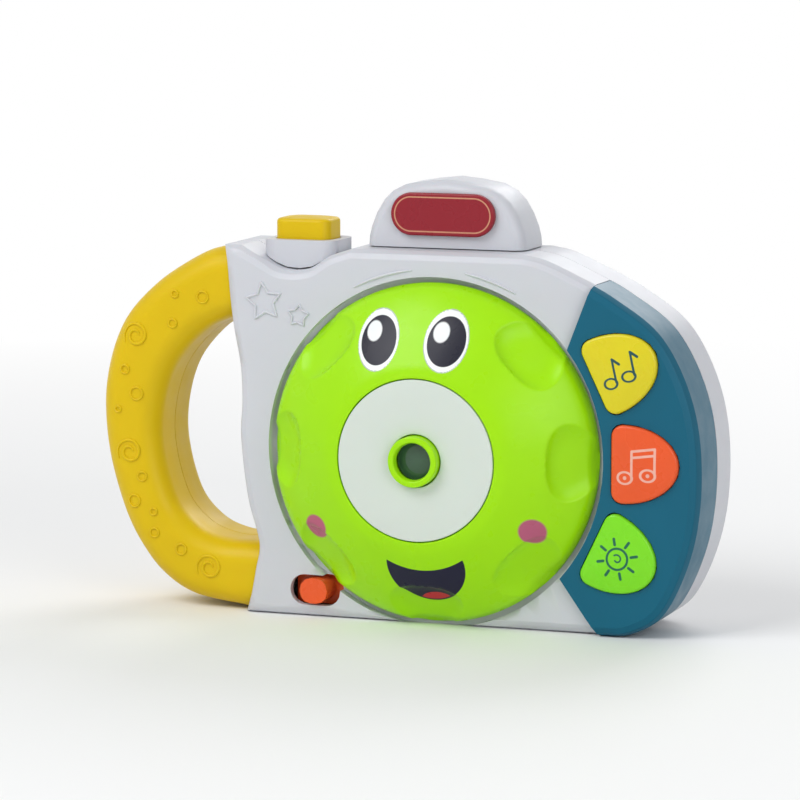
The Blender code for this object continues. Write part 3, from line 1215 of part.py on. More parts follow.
def build_head():
    """The turning head: cover with its scalloped rim, face plate, and the lens in its ring."""
    x, z = on_axis(0, 0)
    sleeve = LENS_RING_R + GAP
    lip_r = FACE_PLATE_R + GAP
    start = lip_r + PLATE_LIP
    span = (HEAD_R - start) / DOME_SPAN
    outer = [(start + r * span, HEAD_FRONT + d) for r, d in DOME_RISE] + [(HEAD_R, HEAD_FRONT + RIM_DEPTH)]
    inner = [(r - 0.75 * WALL, d + 0.75 * WALL) for r, d in outer[3:]]
    inner = [point for point in inner if point[0] > SKIRT_OUTER + WALL / 4]
    profile = [(sleeve, PLATE_SEAT_Y), (lip_r, PLATE_SEAT_Y), (lip_r, HEAD_FRONT)] + outer
    profile += [(HEAD_R, HEAD_BACK), (HEAD_R - WALL, HEAD_BACK)] + inner[::-1]
    profile += [(SKIRT_OUTER, HEAD_FRONT + SKIRT_STEP), (SKIRT_OUTER, FLANGE_FRONT - GAP)]
    profile += [(SKIRT_INNER, FLANGE_FRONT - GAP), (SKIRT_INNER, COVER_REAR_Y), (sleeve, COVER_REAR_Y)]
    cover = frozen(turned("head_cover", profile, x, z, "lime", steps=SCALLOPS * 5))
    dent_scallops(cover)
    slots = []
    half = LUG_WIDTH / 2 + GAP
    for i in range(LUGS):
        slot = block(
            f"lug_slot_{i}", (SKIRT_INNER - WALL / 2, FLANGE_FRONT - LUG_HEIGHT - GAP, -half),
            (DISC_COLLAR_R + LUG_REACH + GAP, FLANGE_FRONT, half),
        )
        slots.append(about_axis(slot, 360 * i / LUGS))
    cut(cover, joined("lug_slots", slots))
    rim, hole = arc((0, 0), FACE_PLATE_R, 0, 351, 40), arc((0, 0), sleeve, 0, 345, 24)
    plate("face_plate", rim, HEAD_FRONT, HEAD_FRONT + FACE_PLATE_T, "plate_white", [hole])
    rear = COVER_REAR_Y + GAP + BARREL_FLANGE_T
    seat_front = LENS_FRONT + LENS_LIP
    turned(
        "lens_barrel",
        [
            (LENS_SIGHT_R, LENS_FRONT), (LENS_RING_R, LENS_FRONT), (LENS_RING_R, COVER_REAR_Y + GAP),
            (BARREL_FLANGE_R, COVER_REAR_Y + GAP), (BARREL_FLANGE_R, rear), (LENS_SEAT_R, rear),
            (LENS_SEAT_R, seat_front), (LENS_SIGHT_R, seat_front),
        ],
        x, z, "lime", steps=24,
    )
    lens_r = LENS_SEAT_R - GAP
    lens_front = seat_front + GAP
    lens_rear = lens_front + LENS_T
    edge = LENS_T * 0.3
    turned(
        "projection_lens",
        [
            (0, lens_front), (lens_r * 0.55, lens_front + edge * 0.3), (lens_r, lens_front + edge),
            (lens_r, lens_rear), (0, lens_rear),
        ],
        x, z, "glass", steps=18,
    )
    turned(
        "lens_retainer",
        [
            (RETAINER_BORE, lens_rear + GAP), (lens_r, lens_rear + GAP), (lens_r, lens_rear + GAP + RETAINER_T),
            (RETAINER_BORE, lens_rear + GAP + RETAINER_T),
        ],
        x, z, "black", steps=18,
    )


def about_axis(obj, angle):
    """Moves a helper that was made on the +X side of the head axis round that axis."""
    place = Matrix.Translation(obj.location)
    turn = Matrix.Rotation(math.radians(-angle), 4, "Y")
    obj.matrix_world = Matrix.Translation((HEAD_X, 0, HEAD_Z)) @ turn @ place
    return obj


def dent_scallops(cover):
    """Presses eight finger dishes into the cover's shoulder, inner and outer surface alike.

    A dish is deepest in the middle of its length along the rim and its width along the radius, and falls to
    nothing at its edge as the square of the distance.
    """
    centre_r = HEAD_R - 0.4 * SCALLOP_WIDTH
    for vertex in cover.data.vertices:
        world = cover.matrix_world @ vertex.co
        dx, dz = world.x - HEAD_X, world.z - HEAD_Z
        radius = math.hypot(dx, dz)
        if radius < SKIRT_OUTER + WALL / 4 or world.y > HEAD_BACK - WALL / 2:
            continue
        step = 360 / SCALLOPS
        angle = math.degrees(math.atan2(dz, dx))
        off = (angle + step / 2) % step - step / 2
        along = radius * math.radians(off) / (SCALLOP_LENGTH / 2)
        out = (radius - centre_r) / (SCALLOP_WIDTH / 2)
        weight = max(0.0, 1 - along**2 - out**2)
        push = SCALLOP_DEPTH * weight * Vector((-dx / radius, 1.0, -dz / radius)).normalized()
        vertex.co = cover.matrix_world.inverted() @ (world + push)


def build_disc():
    """The picture disc that turns with the head, its film ring, the keyed core and the beam prism."""
    x, z = on_axis(0, 0)
    front = DISC_FACE_Y
    inside = DISC_FACE_Y + DISC_FACE_T
    collar_inner = DISC_COLLAR_R - DISC_FLANGE_T
    shoulder = FLANGE_FRONT - DISC_COLLAR_HEIGHT
    profile = [
        (CORE_BORE, front), (DISC_DOME_R, front), (DISC_COLLAR_R, shoulder), (DISC_COLLAR_R, FLANGE_FRONT),
        (DISC_R, FLANGE_FRONT), (DISC_R, FLANGE_REAR), (collar_inner, FLANGE_REAR),
        (collar_inner, shoulder + DISC_FACE_T), (DISC_DOME_R + DISC_FACE_T, inside), (HUB_R, inside),
        (HUB_R, FLANGE_REAR), (CORE_BORE, FLANGE_REAR),
    ]
    disc = turned("picture_disc", profile, x, z, "blue", steps=28)
    lugs = []
    half = LUG_WIDTH / 2
    for i in range(LUGS):
        lug = block(
            f"lug_{i}", (DISC_COLLAR_R - DISC_FLANGE_T / 2, FLANGE_FRONT - LUG_HEIGHT + GAP, -half),
            (DISC_COLLAR_R + LUG_REACH - GAP, FLANGE_FRONT + DISC_FLANGE_T / 2, half),
        )
        lugs.append(about_axis(lug, 360 * i / LUGS))
    holes = []
    for i in range(WINDOWS):
        wx, wz = on_axis(*at_angle(WINDOW_RING_R, 90 + 360 * i / WINDOWS))
        holes.append(rod(f"window_{i}", wx, wz, WINDOW_R, front - WALL, inside + WALL / 2))
        dx, dz = on_axis(*at_angle(DIMPLE_RING_R, 360 * i / WINDOWS))
        holes.append(rod(f"dimple_{i}", dx, dz, DIMPLE_R, FLANGE_FRONT - WALL, FLANGE_REAR + WALL))
    cut(fuse(disc, joined("lugs", lugs)), joined("disc_holes", holes))
    film_half = WINDOW_R + FILM_MARGIN
    turned(
        "film_ring",
        [
            (WINDOW_RING_R - film_half, FILM_Y), (WINDOW_RING_R + film_half, FILM_Y),
            (WINDOW_RING_R + film_half, FILM_Y + FILM_T), (WINDOW_RING_R - film_half, FILM_Y + FILM_T),
        ],
        x, z, "film", steps=28,
    )
    half = PRISM / 2
    plate(
        "beam_prism",
        [
            (PRISM_FRONT, -half), (PRISM_REAR, half), (PRISM_REAR, WINDOW_RING_R + half),
            (PRISM_FRONT, WINDOW_RING_R - half),
        ],
        HEAD_X - half, HEAD_X + half, "glass", across="X",
    )
    core = rod("disc_core", x, z, CORE_R, PRISM_FRONT + WALL / 4, FLOOR_REAR - GAP, "black", sides=20)
    key = CORE_KEY / 2
    slope = GAP * math.sqrt(2)
    front_cut = plate(
        "core_slope",
        [
            (PRISM_FRONT - PRISM, -half - PRISM - slope), (PRISM_REAR + PRISM, half + PRISM - slope),
            (PRISM_FRONT - PRISM, half + PRISM),
        ],
        HEAD_X - PRISM, HEAD_X + PRISM, across="X",
    )
    core_key = block("core_key", (x - key, FLOOR_Y, z - key), (x + key, CORE_END_Y - GAP, z + key))
    cut(fuse(core, core_key), front_cut)


def build_lamp():
    """The lamp's tube with its condenser lens and LED, which reaches through the floor into the disc."""
    x, z = on_axis(0, WINDOW_RING_R)
    front = FILM_Y + FILM_T + 2 * GAP
    flange_front = FLOOR_REAR + GAP
    bore_end = flange_front + LAMP_FLANGE_T
    led_bore = LED_R + GAP
    turned(
        "lamp_holder",
        [
            (LAMP_BORE, front), (LAMP_TUBE_R, front), (LAMP_TUBE_R, flange_front), (LAMP_FLANGE_R, flange_front),
            (LAMP_FLANGE_R, bore_end), (LAMP_TUBE_R, bore_end), (LAMP_TUBE_R, LAMP_REAR_Y), (led_bore, LAMP_REAR_Y),
            (led_bore, bore_end), (LAMP_BORE, bore_end),
        ],
        x, z, "black", steps=20,
    )
    lens_front = front + GAP
    lens_rear = lens_front + CONDENSER_T
    lens_r = LAMP_BORE - GAP
    turned(
        "condenser_lens",
        [(0, lens_front), (lens_r * 0.6, lens_front + CONDENSER_T * 0.12), (lens_r, lens_front + CONDENSER_T * 0.4),
         (lens_r, lens_rear), (0, lens_rear)],
        x, z, "glass", steps=14,
    )
    dome = lens_rear + 3 * GAP
    turns = [math.radians(angle) for angle in (0, 30, 60, 90)]
    profile = [(LED_R * math.sin(turn), dome + LED_R * (1 - math.cos(turn))) for turn in turns]
    turned("lamp", profile + [(LED_R, LAMP_REAR_Y - GAP), (0, LAMP_REAR_Y - GAP)], x, z, "plate_white", steps=14)


def build_detent():
    """The leaf spring whose nose clicks in the dimples of the disc's rim, and its screw."""
    dx, dz = detent_place()
    x = HEAD_X + dx
    front = FLOOR_REAR + GAP
    rear = front + DETENT_T
    tip = FLANGE_REAR + GAP
    nose = DETENT_NOSE
    outline = [
        (front, -DETENT_HALF), (front, -2 * nose), (tip, -nose / 2), (tip, nose / 2), (front, 2 * nose),
        (front, DETENT_HALF), (rear, DETENT_HALF), (rear, 2.2 * nose), (tip + DETENT_T * 1.4, nose / 3),
        (tip + DETENT_T * 1.4, -nose / 3), (rear, -2.2 * nose), (rear, -DETENT_HALF),
    ]
    half = DETENT_WIDTH / 2
    leaf = plate("detent_spring", [(y, z + dz) for y, z in outline], x - half, x + half, "steel", across="X")
    z = HEAD_Z + dz - DETENT_HALF + half
    cut(leaf, rod("leaf_hole", x, z, SCREW_R + GAP, front - WALL, rear + WALL, sides=12))
    head_rear = rear + GAP + DETENT_SCREW_HEAD_T
    length = head_rear - DETENT_SCREW_HEAD_T - FLOOR_Y - WALL / 4 - GAP
    screw("detent_screw", x, z, head_rear, length, BOARD_SCREW_HEAD_R, DETENT_SCREW_HEAD_T)


def build_speaker():
    """The speaker in its collar, cone towards the grille."""
    x, z = on_axis(SPEAKER_X, SPEAKER_Z)
    rear = INNER_REAR - GAP
    front = rear - SPEAKER_DEPTH
    magnet_rear = front + SPEAKER_DEPTH * 0.35
    profile = [
        (0, front), (MAGNET_R, front), (MAGNET_R, magnet_rear), (MAGNET_R * 0.7, magnet_rear),
        (SPEAKER_R * 0.93, rear - SPEAKER_RIM_T), (SPEAKER_R, rear - SPEAKER_RIM_T), (SPEAKER_R, rear),
        (SPEAKER_R * 0.88, rear), (MAGNET_R * 0.6, rear - SPEAKER_RIM_T * 1.5), (0, rear - SPEAKER_RIM_T),
    ]
    turned("speaker", profile, x, z, "black", steps=24)


def stepped(start, steps):
    """Places at the given steps from a start."""
    return [tuple(s + d for s, d in zip(start, step)) for step in steps]


def build_leads():
    """The wires from the speaker, the battery bay and the lamp to the main board."""
    board_rear = MAIN_BOARD_Y + BOARD_T + GAP + LEAD_R
    board_front = MAIN_BOARD_Y - GAP - LEAD_R
    sx, sz = on_axis(SPEAKER_X, SPEAKER_Z)
    magnet_y = INNER_REAR - GAP - SPEAKER_DEPTH - GAP - LEAD_R
    edge = (HEAD_X + MAIN_BOARD_RIGHT, board_rear, sz)
    lead("speaker_lead", stepped((sx, magnet_y, sz), SPEAKER_ROUTE) + stepped(edge, SPEAKER_LANDING), "red")
    start_x = HEAD_X + BAY_X + BAY_HALF - BATTERY_LEAD_INSET
    bay_top = BAY_TOP + BAY_WALL + GAP + LEAD_R
    off_bay, on_board = (start_x, BAY_FRONT, bay_top), (start_x, board_rear, bay_top)
    lead("battery_lead", stepped(off_bay, BATTERY_ROUTE) + stepped(on_board, BATTERY_LANDING), "red")
    lx, lz = on_axis(0, WINDOW_RING_R)
    off_lamp, on_board = (lx, LAMP_REAR_Y + LEAD_R, lz), (lx, board_front, lz)
    lead("lamp_lead", stepped(off_lamp, LAMP_ROUTE) + stepped(on_board, LAMP_LANDING), "white")


def main():
    """Builds the toy from the outside in."""
    clear_scene()
    body = body_solid()
    build_front_shell(body)
    build_rear_shell(body)
    build_handle()
    build_panel()
    build_buttons()
    build_boards()
    build_hump()
    build_shutter()
    build_power_switch()
    build_head()
    build_disc()
    build_lamp()
    build_detent()
    build_cells()
    build_battery_door()
    build_speaker()
    build_housing_screws()
    build_leads()


main()
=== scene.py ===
"""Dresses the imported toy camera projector: moulded shells, turning head, push buttons and small fittings.

Every size is in millimetres and in the toy's own frame (+X right, +Y to the rear, +Z up) until a mesh is
made, when it becomes metres. New pieces are surfaces worked out with numpy on grids of two parameters.
"""

from __future__ import annotations

import json
import logging
import math
from collections.abc import Callable, Sequence
from dataclasses import dataclass, replace
from enum import Enum

import bmesh
import bpy
import numpy as np
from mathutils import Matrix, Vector

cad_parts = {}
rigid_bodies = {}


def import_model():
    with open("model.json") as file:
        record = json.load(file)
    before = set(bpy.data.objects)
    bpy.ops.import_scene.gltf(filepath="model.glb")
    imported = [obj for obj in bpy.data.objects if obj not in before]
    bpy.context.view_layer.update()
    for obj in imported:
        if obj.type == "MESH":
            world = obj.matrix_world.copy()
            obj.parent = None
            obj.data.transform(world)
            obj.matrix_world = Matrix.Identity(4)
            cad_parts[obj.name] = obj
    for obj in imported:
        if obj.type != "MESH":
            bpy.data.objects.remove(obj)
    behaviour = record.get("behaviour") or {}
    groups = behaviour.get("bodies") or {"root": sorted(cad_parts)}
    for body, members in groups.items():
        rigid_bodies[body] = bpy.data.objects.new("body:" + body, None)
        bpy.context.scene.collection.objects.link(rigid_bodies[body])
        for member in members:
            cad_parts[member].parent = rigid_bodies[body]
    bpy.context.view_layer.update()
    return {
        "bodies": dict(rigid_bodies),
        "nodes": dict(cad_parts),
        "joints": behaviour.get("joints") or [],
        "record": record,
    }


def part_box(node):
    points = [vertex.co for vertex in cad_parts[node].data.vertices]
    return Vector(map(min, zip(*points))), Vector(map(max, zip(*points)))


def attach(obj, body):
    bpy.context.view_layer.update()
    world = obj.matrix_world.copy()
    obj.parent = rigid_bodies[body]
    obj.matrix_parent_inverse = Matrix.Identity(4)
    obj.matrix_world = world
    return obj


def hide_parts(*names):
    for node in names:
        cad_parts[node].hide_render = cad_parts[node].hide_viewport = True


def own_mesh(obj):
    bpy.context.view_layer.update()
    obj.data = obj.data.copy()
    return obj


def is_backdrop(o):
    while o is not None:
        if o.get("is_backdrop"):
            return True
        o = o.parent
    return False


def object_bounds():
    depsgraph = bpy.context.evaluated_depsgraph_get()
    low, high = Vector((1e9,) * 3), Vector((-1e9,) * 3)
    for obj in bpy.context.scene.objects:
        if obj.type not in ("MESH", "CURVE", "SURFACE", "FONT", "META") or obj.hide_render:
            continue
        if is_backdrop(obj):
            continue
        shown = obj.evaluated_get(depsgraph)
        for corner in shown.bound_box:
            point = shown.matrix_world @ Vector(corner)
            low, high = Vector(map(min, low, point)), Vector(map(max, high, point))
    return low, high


LOG = logging.getLogger("toy_camera")
MM = 0.001
WELD = 1e-6
CREASE = 34.0
CARRIED_CREASE = 38.0
SPRING_WIRE = 0.22
Colour = tuple[float, float, float]
Array = np.ndarray
Surface = tuple[Array, Array]


class Slot(Enum):
    """The record's material slots."""

    SHELL = "white_shell"
    LIME = "lime"
    YELLOW = "yellow"
    TEAL = "teal"
    ORANGE = "orange"
    BUTTON_YELLOW = "button_yellow"
    BUTTON_GREEN = "button_green"
    PLAQUE = "red_plaque"
    PLATE = "plate_white"
    DISC = "disc_blue"
    FILM = "film"
    BLACK = "black_plastic"
    LENS = "clear_lens"
    LED = "led"
    BOARD = "board_green"
    SCREW = "screw_steel"
    SPRING = "spring_steel"
    CELL = "cell_jacket"
    SPEAKER = "speaker_metal"
    LEAD_RED = "lead_red"
    LEAD_WHITE = "lead_white"


class Symbol(Enum):
    """What is printed on a push button."""

    NOTE = "note"
    BEAMED_NOTES = "beamed_notes"
    SUN = "sun"


@dataclass(frozen=True)
class NodeBox:
    """A CAD node's box in millimetres."""

    low: Array
    high: Array

    @classmethod
    def of(cls, node: str) -> NodeBox:
        """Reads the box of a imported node.

        Args:
            node: The node's name.

        Returns:
            Its lowest and highest corners.
        """
        low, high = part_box(node)
        return cls(np.array(low) / MM, np.array(high) / MM)

    @property
    def centre(self) -> Array:
        """The middle of the box."""
        return (self.low + self.high) / 2

    @property
    def size(self) -> Array:
        """The box's three side lengths."""
        return self.high - self.low


# Surfaces on grids


def grid_faces(rows: int, cols: int, wrap: bool = True) -> Array:
    """Quads between neighbouring rows and columns of a grid, numbered row by row.

    Args:
        rows: Points down the grid.
        cols: Points across the grid.
        wrap: Whether the last column joins the first.

    Returns:
        An array of four vertex numbers per face.
    """
    row = np.arange(rows - 1)[:, None] * cols
    col = np.arange(cols if wrap else cols - 1)[None, :]
    after = (col + 1) % cols
    return np.stack([row + col, row + after, row + after + cols, row + col + cols], axis=-1).reshape(-1, 4)


def surface(points: Array, wrap: bool = True) -> Surface:
    """Turns a grid of points into a surface.

    Args:
        points: Rows by columns by three.
        wrap: Whether the columns close on themselves.

    Returns:
        The flat list of points and its quads.
    """
    rows, cols = points.shape[:2]
    return points.reshape(-1, 3), grid_faces(rows, cols, wrap)


def filleted(profile: Sequence[tuple[float, float]], radius: float, count: int = 4) -> Array:
    """Rounds a profile's inner corners.

    Each corner is replaced by the quadratic curve that leaves one side and meets the other at the fillet's
    reach, which is at most 45 hundredths of the shorter side.

    Args:
        profile: Open profile as (radius, depth) points.
        radius: How far along each side the fillet starts.
        count: Points on each fillet.

    Returns:
        The rounded profile as an array of points.
    """
    p = np.array(profile, float)
    before, corner, after = p[:-2], p[1:-1], p[2:]
    to_before, to_after = before - corner, after - corner
    size_before = np.linalg.norm(to_before, axis=1, keepdims=True)
    size_after = np.linalg.norm(to_after, axis=1, keepdims=True)
    reach = np.minimum(radius, 0.45 * np.minimum(size_before, size_after))
    start, end = corner + to_before / size_before * reach, corner + to_after / size_after * reach
    t = np.linspace(0, 1, count)[None, :, None]
    curve = (1 - t) ** 2 * start[:, None] + 2 * t * (1 - t) * corner[:, None] + t**2 * end[:, None]
    return np.vstack([p[:1], curve.reshape(-1, 2), p[-1:]])


def catmull_rom(points: Sequence[tuple[float, ...]], step: int = 8) -> Array:
    """A smooth curve through points.

    Between two points it is the cubic whose slope at each is half the step from the point before to the one
    after.

    Args:
        points: The points it passes through.
        step: Samples from one point to the next.

    Returns:
        The curve's points, both ends included.
    """
    p = np.array(points, float)
    ends = np.vstack([2 * p[0] - p[1], p, 2 * p[-1] - p[-2]])
    p0, p1, p2, p3 = (ends[i:len(ends) - 3 + i, None] for i in range(4))
    t = (np.arange(step) / step)[None, :, None]
    bend = 2 * p0 - 5 * p1 + 4 * p2 - p3
    twist = 3 * p1 - p0 - 3 * p2 + p3
    cubic = 2 * p1 + (p2 - p0) * t + bend * t**2 + twist * t**3
    return np.vstack([0.5 * cubic.reshape(-1, p.shape[1]), p[-1:]])


def revolved(profile: Array, centre: Array, steps: int = 96, closed: bool = False) -> Surface:
    """A profile turned about an axis along Y.

    A point at radius r and depth y goes to (r cos a, y, r sin a) for each angle a of a full turn.

    Args:
        profile: Points as (radius, depth).
        centre: The axis, as x and z.
        steps: Angles in a full turn.
        closed: Whether the profile's last point joins its first.

    Returns:
        The turned surface.
    """
    p = np.array(profile, float)
    if closed:
        p = np.vstack([p, p[:1]])
    a = np.arange(steps) * 2 * math.pi / steps
    radius, depth = p[:, :1], p[:, 1:]
    x = centre[0] + radius * np.cos(a)
    z = centre[1] + radius * np.sin(a)
    return surface(np.stack([x, np.broadcast_to(depth, x.shape), z], axis=-1))


def inward(outline: Array) -> Array:
    """The steps that shrink an outline by one millimetre.

    Each is the unit normal between the point's two sides, made longer at a corner by the miter.

    Args:
        outline: Anticlockwise (x, z) points.

    Returns:
        One step for each point.
    """
    before = outline - np.roll(outline, 1, axis=0)
    after = np.roll(outline, -1, axis=0) - outline
    before /= np.linalg.norm(before, axis=1, keepdims=True)
    after /= np.linalg.norm(after, axis=1, keepdims=True)
    normal = np.stack([-before[:, 1] - after[:, 1], before[:, 0] + after[:, 0]], axis=1)
    normal /= np.linalg.norm(normal, axis=1, keepdims=True)
    spread = np.clip(normal[:, :1] * -after[:, 1:] + normal[:, 1:] * after[:, :1], 0.5, 1.0)
    return normal / spread


def crowned(
    outline: Array, front: float, rear: float, edge: float, crown: float, rings: int = 14,
    hollow: tuple[float, float] | None = None,
) -> Surface:
    """A cap over an outline: a crowned front, a rounded rim and a flat or hollow rear.

    The rim follows a quarter circle of the edge's radius. Inside it, a point at share s of the way from the
    middle to the rim stands proud by the crown times one minus s squared.

    Args:
        outline: Anticlockwise (x, z) points.
        front: Depth of the rim's front.
        rear: Depth of the rear face.
        edge: Radius of the rounded rim.
        crown: How far the middle stands in front of the rim.
        rings: Rows from the middle to the rim.
        hollow: Thickness of the wall round a hollow rear, and the depth of the hollow's ceiling.

    Returns:
        The closed cap.
    """
    step = inward(outline)
    middle = outline.mean(axis=0)
    turn = np.linspace(0, math.pi / 2, 6)[:, None, None]
    rim = outline + step * (edge * (1 - np.sin(turn)))
    rim_depth = np.broadcast_to(front + edge * (1 - np.cos(turn[..., 0])), rim.shape[:2])
    share = np.linspace(0, 1, rings)[:-1, None, None]
    face = middle + (outline + step * edge - middle) * share
    face_depth = np.broadcast_to(front - crown * (1 - share[..., 0] ** 2), face.shape[:2])
    inner, ceiling = (outline + step * hollow[0], hollow[1]) if hollow else (outline, rear)
    back = middle + (inner - middle) * np.linspace(1, 0, 4)[:, None, None]
    flat = np.vstack([face, rim, [outline], [inner], back])
    sill = np.full((2, len(outline)), rear)
    depth = np.vstack([face_depth, rim_depth, sill, np.full(back.shape[:2], ceiling)])
    return surface(np.stack([flat[..., 0], depth, flat[..., 1]], axis=-1))


def band(outer: Array, inner: Array, front: float, rear: float) -> Surface:
    """A flat ring between two outlines, with straight sides.

    Args:
        outer: The outer (x, z) points.
        inner: As many points of the inner outline.
        front: Depth of its front.
        rear: Depth of its rear.

    Returns:
        The closed ring.
    """
    loop = [(inner, front), (outer, front), (outer, rear), (inner, rear), (inner, front)]
    rows = [np.stack([flat[:, 0], np.full(len(flat), depth), flat[:, 1]], axis=1) for flat, depth in loop]
    return surface(np.array(rows))


def upright(shape: Surface) -> Surface:
    """Turns a surface up: its third measure becomes the depth, and what faced the front faces up."""
    points, faces = shape
    return np.stack([points[:, 0], points[:, 2], -points[:, 1]], axis=1), faces


def ridge(
    path: Array, depth: float | Callable[[Array], Array], width: float, height: float, closed: bool = True
) -> Surface:
    """A raised line on a front face.

    Its section is the upper half of an ellipse carried along the path, sunk a little into the face.

    Args:
        path: The line's (x, z) points.
        depth: Depth of the face, or what gives it at (x, z) points.
        width: Width of the line.
        height: How far it stands out.
        closed: Whether the path closes on itself.

    Returns:
        The line's surface.
    """
    if closed:
        along = np.roll(path, -1, axis=0) - np.roll(path, 1, axis=0)
    else:
        along = np.gradient(path, axis=0)
    side = np.stack([along[:, 1], -along[:, 0]], axis=1) / np.linalg.norm(along, axis=1, keepdims=True)
    turn = np.append(np.linspace(-0.35, math.pi + 0.35, 9), -0.35)[:, None]
    taper = np.ones(len(path)) if closed else np.sin(np.linspace(0.0, 1.0, len(path)) * math.pi) ** 0.25
    across = path[None] + side[None] * (np.cos(turn) * width / 2)[..., None] * taper[None, :, None]
    face = depth(across) if callable(depth) else depth
    out = face - height * np.sin(turn) * taper
    return surface(np.stack([across[..., 0], out, across[..., 1]], axis=-1), wrap=closed)


def evenly(points: Array, count: int) -> Array:
    """Points at even steps of length along a line.

    Args:
        points: The line's points.
        count: How many are wanted, both ends included.

    Returns:
        The new points.
    """
    steps = np.linalg.norm(np.diff(points, axis=0), axis=1)
    reached = np.concatenate([[0.0], np.cumsum(steps)])
    wanted = np.linspace(0, reached[-1], count)
    return np.stack([np.interp(wanted, reached, points[:, k]) for k in range(points.shape[1])], axis=1)


def circle(centre: Sequence[float], radius: float, count: int = 48) -> Array:
    """Points on a circle, anticlockwise."""
    a = np.arange(count) * 2 * math.pi / count
    return np.stack([centre[0] + radius * np.cos(a), centre[1] + radius * np.sin(a)], axis=1)


def spiral(centre: Sequence[float], radius: float, turns: float = 1.6, count: int = 90) -> Array:
    """A spiral whose radius grows in step with its angle from a quarter of its size to all of it.

    Args:
        centre: Its middle, as x and z.
        radius: Its outer radius.
        turns: How often it goes round.
        count: Points along it.

    Returns:
        The points from its middle outwards.
    """
    t = np.linspace(0, 1, count)
    a = t * turns * 2 * math.pi
    r = radius * (0.25 + 0.75 * t)
    return np.stack([centre[0] + r * np.cos(a), centre[1] + r * np.sin(a)], axis=1)


def star(centre: Sequence[float], radius: float, depth: float, turn: float, count: int = 150) -> Array:
    """A five-pointed star's outline, with its tips at the radius and notches halfway between them.

    Args:
        centre: Its middle, as x and z.
        radius: From the middle to a tip.
        depth: By what share of the radius a notch lies nearer.
        turn: Angle of its first tip.
        count: Points all round.

    Returns:
        Anticlockwise points.
    """
    a = turn + np.arange(11) * math.pi / 5
    r = radius * (1 - depth * (np.arange(11) % 2))
    corners = np.stack([centre[0] + r * np.cos(a), centre[1] + r * np.sin(a)], axis=1)
    return evenly(corners, count + 1)[:-1]


def coil(
    centre: Sequence[float], axis: int, radius: float, length: float, wire: float, turns: int
) -> Surface:
    """A round wire wound about one of the three axes, with its turns closer at the ends.

    The wire's middle goes round at its radius while it climbs by its share of the turns less a sine of that
    share, and a small circle is carried round it.

    Args:
        centre: The start of the coil's centre line.
        axis: 0, 1 or 2 for X, Y or Z.
        radius: Outer radius.
        length: Length over the ends.
        wire: Radius of the wire.
        turns: How often it goes round.

    Returns:
        The wire's surface, closed at its ends.
    """
    share = np.linspace(0, 1, turns * 22 + 1)[:, None]
    around = np.linspace(0, 2 * math.pi, 9)[None, :-1]
    angle = share * turns * 2 * math.pi
    climb = share - 0.09 * np.sin(2 * math.pi * share)
    thick = np.where((share == 0) | (share == 1), 0.0, wire)
    away = radius - wire + thick * np.cos(around)
    along = wire + (length - 2 * wire) * climb + thick * np.sin(around)
    parts = [away * np.cos(angle), away * np.sin(angle)]
    parts.insert(axis, along)
    return surface(np.stack(parts, axis=-1) + np.array(centre))


def shade(mesh: bpy.types.Mesh, crease: float) -> None:
    """Smooths a mesh's shading, and leaves edges above the crease angle in degrees sharp."""
    mesh.shade_smooth()
    mesh.set_sharp_from_angle(angle=math.radians(crease))


def linked(name: str, mesh: bpy.types.Mesh) -> bpy.types.Object:
    """Links a mesh to the scene as an object at the origin.

    Args:
        name: The object's name.
        mesh: Its mesh.

    Returns:
        The object.
    """
    made = bpy.data.objects.new(name, mesh)
    bpy.context.scene.collection.objects.link(made)
    return made


def make_piece(name: str, surfaces: Sequence[Surface], crease: float = CREASE) -> bpy.types.Object:
    """Welds surfaces into one mesh with its faces out, shaded smooth below the crease angle.

    Args:
        name: The piece's name.
        surfaces: Points in millimetres with their quads.
        crease: Angle in degrees above which an edge stays sharp.

    Returns:
        The new object, at the origin.
    """
    starts = np.cumsum([0] + [len(points) for points, _ in surfaces[:-1]])
    points = np.vstack([points for points, _ in surfaces]) * MM
    faces = np.vstack([quads + start for (_, quads), start in zip(surfaces, starts)])
    mesh = bpy.data.meshes.new(name)
    mesh.from_pydata(points.tolist(), [], faces.tolist())
    bm = bmesh.new()
    bm.from_mesh(mesh)
    bmesh.ops.remove_doubles(bm, verts=bm.verts, dist=WELD)
    bmesh.ops.dissolve_degenerate(bm, edges=bm.edges, dist=WELD)
    bmesh.ops.recalc_face_normals(bm, faces=bm.faces)
    bm.to_mesh(mesh)
    bm.free()
    shade(mesh, crease)
    return linked(name, mesh)


def bored(piece: bpy.types.Object, cutters: Sequence[bpy.types.Object]) -> bpy.types.Object:
    """Takes the cutters' shapes out of a piece, and removes the cutters.

    Args:
        piece: The piece to cut.
        cutters: Closed meshes.

    Returns:
        The piece with its new mesh.
    """
    for cutter in cutters:
        cut = piece.modifiers.new(cutter.name, "BOOLEAN")
        cut.operation = "DIFFERENCE"
        cut.solver = "EXACT"
        cut.object = cutter
    mesh = bpy.data.meshes.new_from_object(piece.evaluated_get(bpy.context.evaluated_depsgraph_get()))
    piece.modifiers.clear()
    piece.data = mesh
    for cutter in cutters:
        bpy.data.objects.remove(cutter)
    shade(mesh, CREASE)
    return piece


